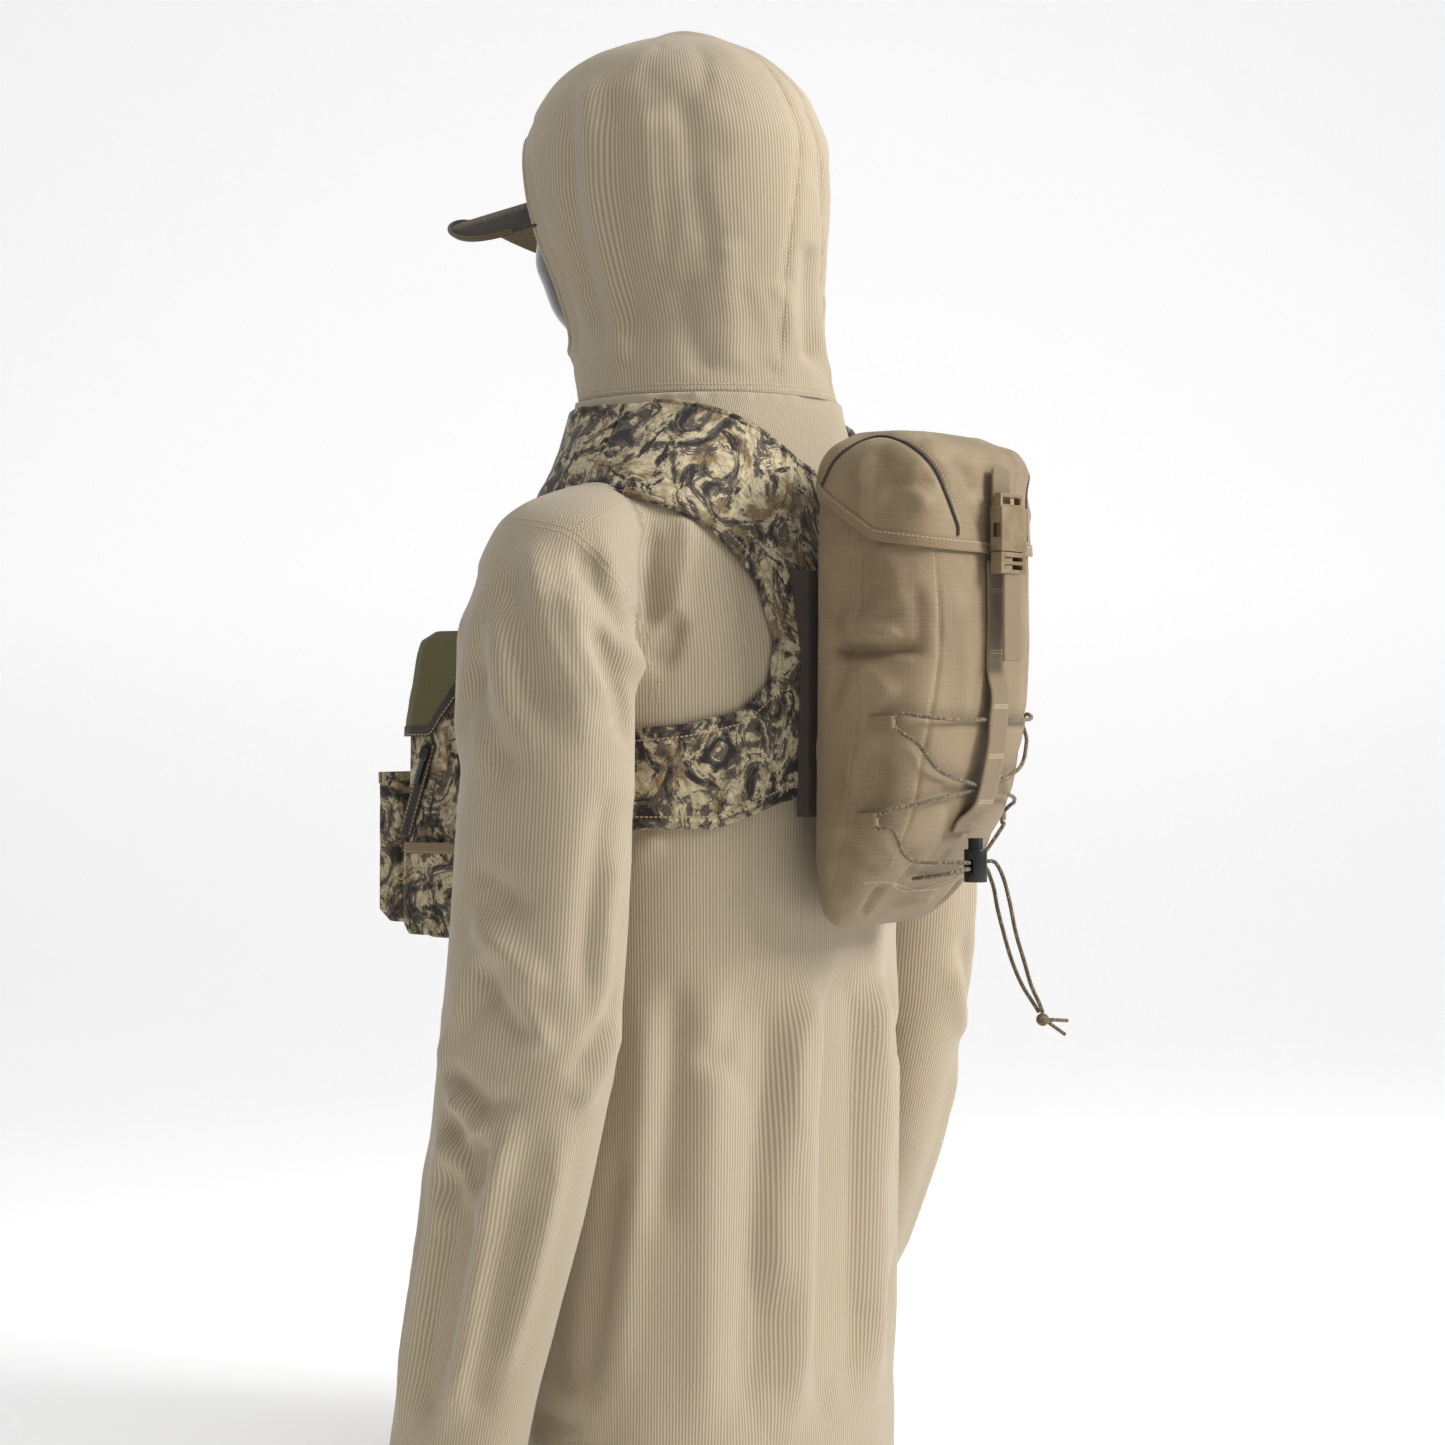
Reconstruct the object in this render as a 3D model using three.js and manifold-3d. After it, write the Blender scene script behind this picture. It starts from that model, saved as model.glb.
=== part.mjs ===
// A hooded sun shirt, field cap, chest harness with a chest pouch, and a back pouch, worn by a
// display form that stands on its own flat base. Millimetres; +Z up; the wearer faces -Y and the
// wearer's left is +X. The origin is the centre of the form's flat base.
import * as THREE from "three";
import { mergeVertices } from "three/addons/utils/BufferGeometryUtils.js";
import Module from "manifold-3d";

const wasm = await Module();
wasm.setup();

// ---------- driving dimensions ----------
const GAP = 0.3; // between pieces that touch
const NECK_HEIGHT = 843; // floor to the seam where the hood joins the shirt
const SHIRT_WIDTH = 364; // shirt body, widest, at the chest
const SHIRT_DEPTH = 252; // shirt body, front to back, at the chest
const SHIRT_HEM = 20; // floor to the shirt's hem
const CLOTH_WALL = 3; // shirt cloth with its folds, as one wall
const SHIRT_EASE = 6; // least room between the form and the cloth's outer face
const SLEEVE_WIDTH = 100; // sleeve across the upper arm
const SLEEVE_DEPTH = 132; // sleeve front to back at the upper arm
const SLEEVE_CLEARANCE = 9; // between the side of the body and the sleeve
const CUFF_HEIGHT = 45; // floor to the end of the sleeve
const ARM_EASE = 10; // the sleeve's outer face to the arm form
const HEAD_WIDTH = 152;
const HEAD_DEPTH = 212;
const HEAD_HEIGHT = 255; // neck joint to crown
const HOOD_ROOM = 20; // head to the hood's outer face, at the temples
const CAP_WALL = 2.4;
const BILL_LENGTH = 84;
const BILL_WALL = 3;
const HARNESS_WALL = 5;
const STRAP_WALL = 2.4;
const WEBBING_WIDTH = 25;
const PACK_WIDTH = 174;
const PACK_DEPTH = 118;
const PACK_HEIGHT = 320; // bottom to the rim under the lid
const PACK_RIM_DROP = 73; // neck seam down to the rim
const PACK_WALL = 3;
const LID_DROP = 50; // how far the lid's front hangs below the rim
const POUCH_WIDTH = 190;
const POUCH_DEPTH = 102;
const POUCH_HEIGHT = 222;
const POUCH_RIM_DROP = 191; // neck seam down to the chest pouch's rim
const POCKET_DEPTH = 38;
const CORD = 3; // bungee diameter

const SIDES = 24; // points round a large section

// ---------- solids ----------
const solidOf = (geometry) => {
  const plain = geometry.index ? geometry.toNonIndexed() : geometry.clone();
  const bare = new THREE.BufferGeometry();
  bare.setAttribute("position", plain.getAttribute("position"));
  const merged = mergeVertices(bare, 1e-3);
  return new wasm.Manifold(
    new wasm.Mesh({
      numProp: 3,
      vertProperties: merged.attributes.position.array,
      triVerts: new Uint32Array(merged.index.array),
    }),
  );
};

const geometryOf = (solid) => {
  const mesh = solid.getMesh();
  const geometry = new THREE.BufferGeometry();
  geometry.setAttribute("position", new THREE.BufferAttribute(mesh.vertProperties, 3));
  geometry.setIndex(new THREE.BufferAttribute(mesh.triVerts, 1));
  return geometry;
};

// A closed solid over rings of points, lowest ring first, each counter-clockwise seen from above.
const loftGeometry = (rings) => {
  const count = rings[0].length;
  const points = rings.flat();
  const faces = [];
  for (let k = 0; k < rings.length - 1; k++) {
    for (let j = 0; j < count; j++) {
      const next = (j + 1) % count;
      const a = k * count + j;
      const b = k * count + next;
      faces.push(a, b, b + count, a, b + count, a + count);
    }
  }
  const centreOf = (ring) => ring.reduce((sum, p) => sum.add(p), new THREE.Vector3()).divideScalar(count);
  const low = points.length;
  points.push(centreOf(rings[0]), centreOf(rings[rings.length - 1]));
  const top = (rings.length - 1) * count;
  for (let j = 0; j < count; j++) {
    const next = (j + 1) % count;
    faces.push(low, next, j, low + 1, top + j, top + next);
  }
  const geometry = new THREE.BufferGeometry().setFromPoints(points);
  geometry.setIndex(faces);
  return geometry;
};

// One level section: a rounded outline of half-axes a and b round (x, y), squarer as n grows.
const ring = ({ z, x = 0, y = 0, a, b, n = 2 }, grow = 0, sides = SIDES) => {
  const points = [];
  for (let j = 0; j < sides; j++) {
    const angle = (2 * Math.PI * j) / sides;
    const c = Math.cos(angle);
    const s = Math.sin(angle);
    const px = x + (a + grow) * Math.sign(c) * Math.abs(c) ** (2 / n);
    const py = y + (b + grow) * Math.sign(s) * Math.abs(s) ** (2 / n);
    points.push(new THREE.Vector3(px, py, z));
  }
  return points;
};

const loft = (sections, grow = 0, sides = SIDES) =>
  solidOf(loftGeometry(sections.map((section) => ring(section, grow, sides))));

// The section at any height, between the two listed sections next to it.
const sectionAt = (sections, z) => {
  let upper = sections.findIndex((section) => section.z >= z);
  if (upper <= 0) upper = upper === 0 ? 1 : sections.length - 1;
  const low = sections[upper - 1];
  const high = sections[upper];
  const t = (z - low.z) / (high.z - low.z);
  const mix = (key, other) => THREE.MathUtils.lerp(low[key] ?? other, high[key] ?? other, t);
  return { z, x: mix("x", 0), y: mix("y", 0), a: mix("a"), b: mix("b"), n: mix("n", 2) };
};

const between = (sections, z0, z1) => [
  sectionAt(sections, z0),
  ...sections.filter((section) => section.z > z0 + 0.5 && section.z < z1 - 0.5),
  sectionAt(sections, z1),
];

const box = (x0, x1, y0, y1, z0, z1) => {
  const geometry = new THREE.BoxGeometry(x1 - x0, y1 - y0, z1 - z0);
  geometry.translate((x0 + x1) / 2, (y0 + y1) / 2, (z0 + z1) / 2);
  return solidOf(geometry);
};

// An outline of [x, z] points, pushed along Y from y0 to y1.
const prismY = (outline, y0, y1) => {
  const shape = new THREE.Shape(outline.map(([x, z]) => new THREE.Vector2(x, z)));
  const geometry = new THREE.ExtrudeGeometry(shape, { depth: y1 - y0, bevelEnabled: false });
  geometry.rotateX(Math.PI / 2);
  geometry.translate(0, y1, 0);
  return solidOf(geometry);
};

// An outline of [y, z] points, pushed along X from x0 to x1.
const prismX = (outline, x0, x1) => {
  const shape = new THREE.Shape(outline.map(([y, z]) => new THREE.Vector2(y, z)));
  const geometry = new THREE.ExtrudeGeometry(shape, { depth: x1 - x0, bevelEnabled: false });
  geometry.rotateX(Math.PI / 2);
  geometry.rotateZ(Math.PI / 2);
  geometry.translate(x0, 0, 0);
  return solidOf(geometry);
};

const tube = (points, diameter, sides, steps) => {
  const shape = new THREE.Shape();
  for (let j = 0; j < sides; j++) {
    const angle = (2 * Math.PI * j) / sides;
    const x = (diameter / 2) * Math.cos(angle);
    const y = (diameter / 2) * Math.sin(angle);
    if (j === 0) shape.moveTo(x, y);
    else shape.lineTo(x, y);
  }
  const extrudePath = new THREE.CatmullRomCurve3(points, false, "centripetal");
  return new THREE.ExtrudeGeometry(shape, { steps, extrudePath, bevelEnabled: false });
};

const cylinder = (radius, z0, z1, x, y, sides = 20) => {
  const geometry = new THREE.CylinderGeometry(radius, radius, z1 - z0, sides);
  geometry.rotateX(Math.PI / 2);
  geometry.translate(x, y, (z0 + z1) / 2);
  return solidOf(geometry);
};

// ---------- nodes ----------
const group = new THREE.Group();
const FINISHES = {
  form: new THREE.MeshStandardMaterial({ color: 0x101010, roughness: 0.15, metalness: 0 }),
  shirt: new THREE.MeshStandardMaterial({ color: 0xc8b9a0, roughness: 0.9, metalness: 0 }),
  capCloth: new THREE.MeshStandardMaterial({ color: 0x5a4b32, roughness: 0.9, metalness: 0 }),
  camo: new THREE.MeshStandardMaterial({ color: 0x968260, roughness: 0.9, metalness: 0 }),
  packCloth: new THREE.MeshStandardMaterial({ color: 0x8c7658, roughness: 0.85, metalness: 0 }),
  oliveCloth: new THREE.MeshStandardMaterial({ color: 0x5a5532, roughness: 0.85, metalness: 0 }),
  webbing: new THREE.MeshStandardMaterial({ color: 0x7d6a4c, roughness: 0.8, metalness: 0 }),
  bungee: new THREE.MeshStandardMaterial({ color: 0x5f523c, roughness: 0.8, metalness: 0 }),
  buckle: new THREE.MeshStandardMaterial({ color: 0x7a6a50, roughness: 0.45, metalness: 0 }),
  lock: new THREE.MeshStandardMaterial({ color: 0x191919, roughness: 0.4, metalness: 0 }),
  spring: new THREE.MeshStandardMaterial({ color: 0xb0b0b0, roughness: 0.3, metalness: 1 }),
};

const addGeometry = (name, geometry, finish) => {
  const mesh = new THREE.Mesh(geometry, FINISHES[finish].clone());
  mesh.name = name;
  group.add(mesh);
};
const add = (name, solid, finish) => addGeometry(name, geometryOf(solid), finish);

const SIDE_NAMES = { left: 1, right: -1 };
const mirrored = (solid, side) => (side > 0 ? solid : solid.mirror([1, 0, 0]));

// ---------- display form and shirt body ----------
// Shares of the neck height, shirt width and shirt depth at each level, and the shift along Y.
const SHIRT_SHAPE = [
  [0.024, 0.945, 0.96, 0],
  [0.18, 0.923, 0.937, 0],
  [0.475, 0.934, 0.968, 0],
  [0.652, 0.967, 1, 0],
  [0.771, 1, 1, 2],
  [0.854, 1, 0.88, 5],
  [0.896, 0.923, 0.8, 6],
  [0.937, 0.758, 0.762, 5],
  [0.973, 0.615, 0.762, 3],
  [1, 0.533, 0.778, 0],
];
const FORM_SHAPE = [
  [0, 0.9, 0.91, 0],
  [0.18, 0.86, 0.86, 0],
  [0.35, 0.8, 0.83, 0],
  [0.475, 0.84, 0.88, 0],
  [0.652, 0.92, 0.95, 0],
  [0.771, 0.96, 0.93, 2],
  [0.854, 0.95, 0.74, 5],
  [0.89, 0.82, 0.6, 6],
  [0.925, 0.56, 0.5, 6],
  [0.949, 0.38, 0.47, 5],
  [1.008, 0.32, 0.476, 0],
];
const bodySections = (shape) =>
  shape.map(([up, wide, deep, y]) => ({
    z: up * NECK_HEIGHT,
    y,
    a: (wide * SHIRT_WIDTH) / 2,
    b: (deep * SHIRT_DEPTH) / 2,
    n: 2.3,
  }));
const shirtSections = bodySections(SHIRT_SHAPE);
const slimSections = (sections, by) => sections.map((s) => ({ ...s, a: s.a - by, b: s.b - by }));
const FORM_SLACK = SHIRT_EASE - 4; // how far the form is drawn in from its own sections
const formSections = slimSections(bodySections(FORM_SHAPE), FORM_SLACK);
shirtSections[0].z = SHIRT_HEM;

// A solid joined with its own mirror image, so that a left piece cut by it also fits on the right.
const bothSides = (solid) => solid.add(solid.mirror([1, 0, 0]));
const shirtOuter = loft(shirtSections);
const shirtSurface = (grow) => bothSides(loft(shirtSections, grow));
const OPEN_END = 2; // how far an inner shape runs past an opening, to cut it clean
const belowHem = { ...shirtSections[0], z: SHIRT_HEM - OPEN_END };
const aboveNeck = { ...shirtSections[9], z: NECK_HEIGHT + OPEN_END };
const shirtInner = loft(
  [belowHem, ...shirtSections.slice(1, -1), aboveNeck],
  -CLOTH_WALL,
);
const form = loft(formSections);

// ---------- arms and sleeves ----------
// Share of the neck height, outward step from the sleeve's line, Y, and shares of width and depth.
const SLEEVE_SHAPE = [
  [0.144, -1, -46, 0.88, 0.82],
  [0.297, 3, -9, 0.97, 0.94],
  [0.441, 6, 16, 1.06, 1.03],
  [0.534, 5, 23, 1.04, 1.03],
  [0.664, 0, 27, 1.04, 1],
  [0.795, -17, 16, 1.08, 0.97],
  [0.848, -33, 11, 0.98, 0.91],
  [0.884, -47, 9, 0.85, 0.79],
  [0.904, -61, 8, 0.58, 0.55],
  [0.916, -73, 8, 0.12, 0.12],
];
const sleeveLine = SHIRT_WIDTH / 2 - 6 + SLEEVE_CLEARANCE + SLEEVE_WIDTH / 2;
const sleeveSections = [
  { z: CUFF_HEIGHT, x: sleeveLine - 4, y: -64, a: SLEEVE_WIDTH * 0.43, b: SLEEVE_DEPTH * 0.386, n: 2.1 },
  ...SLEEVE_SHAPE.map(([up, out, y, wide, deep]) => ({
    z: up * NECK_HEIGHT,
    x: sleeveLine + out,
    y,
    a: (wide * SLEEVE_WIDTH) / 2,
    b: (deep * SLEEVE_DEPTH) / 2,
    n: 2.1,
  })),
];
const SLEEVE_SIDES = 20;
const ARM_END = 20; // the arm form stops this far inside the cuff
const sleeveSolid = (grow) => loft(sleeveSections, grow, SLEEVE_SIDES);
const sleeveHollow = loft(
  [{ ...sleeveSections[0], z: CUFF_HEIGHT - 2 }, ...sleeveSections.slice(1, -1)],
  -CLOTH_WALL,
  SLEEVE_SIDES,
);
const armSections = between(sleeveSections, CUFF_HEIGHT + ARM_END, 0.89 * NECK_HEIGHT);
const armSolid = loft(armSections, -ARM_EASE, SLEEVE_SIDES);
const sleeveLeft = sleeveSolid(0).subtract(sleeveHollow).subtract(shirtSurface(GAP));
const armLeft = armSolid.subtract(bothSides(loft(formSections, GAP)));
const bothHollows = bothSides(sleeveHollow);

add("form_torso", form, "form");
add("shirt_body", shirtOuter.subtract(shirtInner).subtract(bothHollows), "shirt");
for (const [side, sign] of Object.entries(SIDE_NAMES)) {
  add(`form_arm_${side}`, mirrored(armLeft, sign), "form");
  add(`sleeve_${side}`, mirrored(sleeveLeft, sign), "shirt");
}

// ---------- head, cap and hood ----------
const HEAD_BASE = formSections[formSections.length - 1].z + GAP;
// Share of the head height, shares of width and depth, and Y.
const HEAD_SHAPE = [
  [0, 0.74, 0.56, 0],
  [0.09, 0.72, 0.56, -6],
  [0.15, 0.74, 0.76, -28],
  [0.28, 0.87, 0.92, -42],
  [0.42, 0.96, 0.98, -48],
  [0.58, 1, 1, -48],
  [0.74, 0.99, 0.98, -46],
  [0.87, 0.88, 0.86, -43],
  [0.95, 0.66, 0.64, -41],
  [1, 0.3, 0.3, -40],
];
const headSections = HEAD_SHAPE.map(([up, wide, deep, y]) => ({
  z: HEAD_BASE + up * HEAD_HEIGHT,
  y,
  a: (wide * HEAD_WIDTH) / 2,
  b: (deep * HEAD_DEPTH) / 2,
}));
const CAP_EDGE = HEAD_BASE + 0.65 * HEAD_HEIGHT;
const CAP_FIT = 0.8;
const raised = (sections, by) => sections.map((s, i) => (i < sections.length - 1 ? s : { ...s, z: s.z + by }));
const capOut = CAP_FIT + CAP_WALL;
const capOuter = loft(raised(between(headSections, CAP_EDGE, HEAD_BASE + HEAD_HEIGHT), capOut), capOut);
const capInner = loft(raised(between(headSections, CAP_EDGE - 2, HEAD_BASE + HEAD_HEIGHT), CAP_FIT), CAP_FIT);
add("form_head", loft(headSections), "form");
add("cap_crown", capOuter.subtract(capInner), "capCloth");

// The bill is a slice of an arched shell, cut to a rounded outline seen from above.
const browY = headSections[6].y - headSections[6].b;
const BILL_HALF = 74;
const BILL_DROP = 40; // how far the bill's sides hang below its middle
const BILL_TILT = 12; // how far the tip drops below the brow
const billArch = (lift) => {
  const outline = [];
  const STEPS = 12;
  for (let i = 0; i <= STEPS; i++) {
    const x = -BILL_HALF + (2 * BILL_HALF * i) / STEPS;
    outline.push([x, lift - BILL_DROP * (x / BILL_HALF) ** 2]);
  }
  return outline;
};
const billSlab = prismY([...billArch(0), ...billArch(BILL_WALL).reverse()], -BILL_LENGTH - 5, 60);
const billAngle = THREE.MathUtils.radToDeg(Math.atan2(BILL_TILT, BILL_LENGTH));
const BILL_REAR = 20; // how far the bill's root reaches back along the crown
const billPlan = loft([
  { z: CAP_EDGE - 100, y: browY + BILL_REAR, a: BILL_HALF, b: BILL_LENGTH + BILL_REAR, n: 2.4 },
  { z: CAP_EDGE + 40, y: browY + BILL_REAR, a: BILL_HALF, b: BILL_LENGTH + BILL_REAR, n: 2.4 },
]);
const bill = billSlab
  .rotate([billAngle, 0, 0])
  .translate([0, browY, CAP_EDGE])
  .intersect(billPlan)
  .intersect(box(-BILL_HALF - 1, BILL_HALF + 1, browY - BILL_LENGTH - 1, browY + BILL_REAR, 0, 2000))
  .subtract(loft(headSections, CAP_FIT + CAP_WALL + GAP));
add("cap_bill", bill, "capCloth");

// Share of the head height, half-width and half-depth beyond the head's own, and Y.
const hoodWide = HEAD_WIDTH / 2 + HOOD_ROOM;
const hoodDeep = HEAD_DEPTH / 2 + HOOD_ROOM;
const neckSection = shirtSections[shirtSections.length - 1];
const HOOD_SHAPE = [
  [0.08, 0.94, 0.795, -7],
  [0.18, 0.86, 0.83, -12],
  [0.31, 0.9, 0.89, -20],
  [0.47, 0.96, 0.97, -27],
  [0.59, 1, 1, -30],
  [0.75, 0.99, 1, -32],
  [0.9, 0.87, 0.9, -36],
  [1, 0.67, 0.71, -38],
  [1.07, 0.4, 0.44, -38],
  [1.105, 0.12, 0.15, -38],
];
const hoodSections = [
  { ...neckSection, z: NECK_HEIGHT + GAP, n: 2.1 },
  ...HOOD_SHAPE.map(([up, wide, deep, y]) => ({
    z: HEAD_BASE + up * HEAD_HEIGHT,
    y,
    a: wide * hoodWide,
    b: deep * hoodDeep,
    n: 2.1,
  })),
];
const hoodInner = loft(
  [{ ...hoodSections[0], z: NECK_HEIGHT - 2 }, ...hoodSections.slice(1, -1)],
  -CLOTH_WALL,
);
const CHIN = HEAD_BASE + 0.13 * HEAD_HEIGHT;
const FACE_TOP = HEAD_BASE + 0.84 * HEAD_HEIGHT;
const faceCut = prismX(
  [
    [-300, CHIN],
    [-76, CHIN],
    [-108, HEAD_BASE + 0.46 * HEAD_HEIGHT],
    [-142, FACE_TOP],
    [-300, FACE_TOP],
  ],
  -200,
  200,
);
add("hood", loft(hoodSections).subtract(hoodInner).subtract(faceCut), "shirt");

// ---------- harness ----------
const LIFT = 0.6; // harness above the shirt
const harnessShell = (wall) => {
  const cover = shirtSurface(LIFT + wall).subtract(shirtSurface(LIFT));
  return cover.subtract(bothSides(sleeveSolid(0.5)));
};
const padded = harnessShell(HARNESS_WALL);
const flat = harnessShell(STRAP_WALL);
const down = (drop) => NECK_HEIGHT - drop;
const WING_TOP = 248;
const WING_LOW = 318;
const yokeHalf = [
  [0, down(63)],
  [33, down(50)],
  [78, down(20)],
  [100, down(7)],
  [170, down(7)],
  [170, down(68)],
  [122, down(102)],
  [92, down(143)],
  [83, down(183)],
  [90, down(218)],
  [112, down(238)],
  [150, down(WING_TOP)],
  [220, down(WING_TOP + 10)],
  [220, down(WING_LOW + 10)],
  [175, down(WING_LOW)],
  [128, down(WING_LOW)],
  [80, down(300)],
  [0, down(286)],
];
const yokeOutline = [...yokeHalf, ...yokeHalf.slice(1, -1).reverse().map(([x, z]) => [-x, z])];
add("harness_back_panel", padded.intersect(prismY(yokeOutline, 0, 260)), "camo");

const STRAP_END = 143; // neck seam down to the lower end of the padded strap
const strapOutline = [
  [60, down(STRAP_END)],
  [76, down(83)],
  [80, down(43)],
  [84, down(7)],
  [170, down(7)],
  [170, down(68)],
  [125, down(98)],
  [98, down(STRAP_END)],
];
const strapLeft = padded.intersect(prismY(strapOutline, -260, -GAP));

const POUCH_PANEL_ROOM = 5; // between the harness and the chest pouch
const pouchBackY = -(SHIRT_DEPTH / 2 + HARNESS_WALL + POUCH_PANEL_ROOM);
const pouchRim = down(POUCH_RIM_DROP);
const pouchFloor = pouchRim - POUCH_HEIGHT;
const PANEL_HALF = 98;
const panelTop = pouchRim - 6;
const frontPanel = box(-PANEL_HALF, PANEL_HALF, pouchBackY + GAP, -60, pouchFloor + 12, panelTop)
  .subtract(shirtSurface(LIFT));
add("pouch_back_panel", frontPanel, "camo");

const webX = 79; // middle of each front webbing
const frontWeb = flat.intersect(
  box(webX - WEBBING_WIDTH / 2, webX + WEBBING_WIDTH / 2, -260, -60, panelTop + GAP, down(STRAP_END) - GAP),
);
const sideWeb = flat.intersect(
  box(PANEL_HALF + GAP, 260, -260, -GAP, down(WING_LOW) - 3, down(WING_LOW) - 3 + WEBBING_WIDTH),
);
for (const [side, sign] of Object.entries(SIDE_NAMES)) {
  add(`shoulder_strap_${side}`, mirrored(strapLeft, sign), "camo");
  add(`front_webbing_${side}`, mirrored(frontWeb, sign), "webbing");
  add(`side_webbing_${side}`, mirrored(sideWeb, sign), "webbing");
}

// A ladder lock lies over each front webbing, below the padded strap.
const lockTop = down(STRAP_END) - 2;
const lockSection = sectionAt(shirtSections, lockTop - 26);
const lockFace = lockSection.y - (lockSection.b + LIFT + STRAP_WALL + 1)
  * (1 - ((webX - WEBBING_WIDTH / 2) / lockSection.a) ** 2.3) ** (1 / 2.3);
const ladderFrame = box(webX - 17, webX + 17, lockFace - 4.5, lockFace - 0.5, lockTop - 24, lockTop)
  .subtract(box(webX - 13, webX + 13, lockFace - 10, lockFace + 10, lockTop - 9, lockTop - 4))
  .subtract(box(webX - 13, webX + 13, lockFace - 10, lockFace + 10, lockTop - 20, lockTop - 14));
for (const [side, sign] of Object.entries(SIDE_NAMES)) {
  add(`ladder_lock_${side}`, mirrored(ladderFrame, sign), "buckle");
}

// ---------- back pouch ----------
const PACK_ROOM = 4.4; // between the harness and the back pouch
const packBackY = SHIRT_DEPTH / 2 + LIFT + HARNESS_WALL + PACK_ROOM;
const packRim = down(PACK_RIM_DROP);
const packFloor = packRim - PACK_HEIGHT;
// Share of the height, share of the width, inset of the wearer's side, share of the depth.
const PACK_SHAPE = [
  [0, 0.6, 10, 0.2],
  [0.019, 0.76, 5, 0.31],
  [0.072, 0.874, 2, 0.46],
  [0.153, 0.943, 0, 0.64],
  [0.2875, 0.989, 0, 0.85],
  [0.469, 1, 0, 0.97],
  [0.653, 1, 0, 1],
  [0.844, 0.989, 0, 0.99],
  [1, 0.966, 1, 0.966],
];
const packSections = PACK_SHAPE.map(([up, wide, inset, deep]) => ({
  z: packFloor + up * PACK_HEIGHT,
  y: packBackY + (inset + deep * PACK_DEPTH) / 2,
  a: (wide * PACK_WIDTH) / 2,
  b: (deep * PACK_DEPTH - inset) / 2,
  n: 3.4,
}));
const packMouth = { ...packSections[8], z: packRim + OPEN_END };
const packCavity = [...between(packSections, packFloor + 9, packRim).slice(0, -1), packMouth];
add("pack_body", loft(packSections).subtract(loft(packCavity, -PACK_WALL)), "packCloth");

// The lid: a dome with a skirt whose lower edge slopes down to the front.
const lidFit = 0.6;
const lidLow = packRim - LID_DROP;
const lidGrow = lidFit + PACK_WALL;
const LID_DOME = [
  [15, 0.98, 3, 0.98],
  [30, 0.86, 10, 0.9],
  [38, 0.62, 26, 0.68],
];
const domeSections = LID_DOME.map(([up, wide, inset, deep]) => ({
  z: packRim + up,
  y: packBackY + (inset + deep * PACK_DEPTH) / 2,
  a: (wide * PACK_WIDTH) / 2,
  b: (deep * PACK_DEPTH - inset) / 2,
  n: 3.2,
}));
const lidOuter = loft([...between(packSections, lidLow, packRim), ...domeSections], lidGrow);
const lidInner = loft(
  [...between(packSections, lidLow - 4, packRim), ...domeSections.slice(0, 2).map((s) => ({ ...s, z: s.z - 1 }))],
  lidFit,
);
const skirtCut = prismX(
  [
    [0, lidLow - 20],
    [400, lidLow - 20],
    [400, lidLow],
    [packBackY + 70, lidLow + 8],
    [packBackY + 16, packRim - 4],
    [packBackY + 12, packRim + 6],
    [0, packRim + 6],
  ],
  -200,
  200,
);
add("pack_lid", lidOuter.subtract(lidInner).subtract(skirtCut), "packCloth");

const packFaceY = packBackY + PACK_DEPTH; // outer face of the pack body
const lidFaceY = packFaceY + lidGrow;
const half = WEBBING_WIDTH / 2;
const buckleLow = lidLow - 14;
const lidWebbing = box(-half, half, lidFaceY + GAP, lidFaceY + GAP + 1.8, lidLow + 6, lidLow + 62)
  .subtract(lidOuter.translate([0, 0.1, 0]));
add("pack_lid_webbing", lidWebbing, "webbing");

// Side-release buckle: the female half hangs from the lid webbing, the male half slides down out.
const buckleY = lidFaceY + 2.6;
const BUCKLE_DEPTH = 10;
const femaleLow = lidLow + 2;
const femaleTop = lidLow + 34;
const buckleMidY = buckleY + BUCKLE_DEPTH / 2;
const female = box(-18, 18, buckleY, buckleY + BUCKLE_DEPTH, femaleLow, femaleTop)
  .add(box(-16, 16, buckleY + 2, buckleY + BUCKLE_DEPTH - 2, femaleTop - 1, femaleTop + 10))
  .subtract(box(-12.5, 12.5, buckleY, buckleY + BUCKLE_DEPTH, femaleTop + 2, femaleTop + 7))
  .subtract(box(-15.5, 15.5, buckleMidY - 3, buckleMidY + 3, femaleLow - 1, femaleTop - 3))
  .subtract(box(-19, 19, buckleMidY - 3, buckleMidY + 3, femaleLow + 10, femaleLow + 20));
add("buckle_female", female, "buckle");
const PRONG_FIT = 0.7;
const prong = (sign) => {
  const x0 = sign > 0 ? 10.5 : -14.5;
  return box(x0, x0 + 4, buckleMidY - 3 + PRONG_FIT, buckleMidY + 3 - PRONG_FIT, femaleLow - 2, femaleTop - 5);
};
const male = box(-18, 18, buckleY + 0.5, buckleY + BUCKLE_DEPTH - 0.5, buckleLow, femaleLow - 0.5)
  .subtract(box(-13, 13, buckleY - 1, buckleY + BUCKLE_DEPTH + 1, buckleLow + 3, buckleLow + 6.5))
  .subtract(box(-13, 13, buckleY - 1, buckleY + BUCKLE_DEPTH + 1, buckleLow + 9, buckleLow + 12))
  .add(prong(1))
  .add(prong(-1))
  .add(box(-2, 2, buckleMidY - 1.8, buckleMidY + 1.8, femaleLow - 2, femaleTop - 8));
add("buckle_male", male, "buckle");
const TAIL_LENGTH = 62;
const tailY = buckleY + BUCKLE_DEPTH - 3;
const tailTop = buckleLow - 1;
add("pack_strap_tail", box(-half, half, tailY, tailY + 1.8, tailTop - TAIL_LENGTH, tailTop), "webbing");

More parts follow.
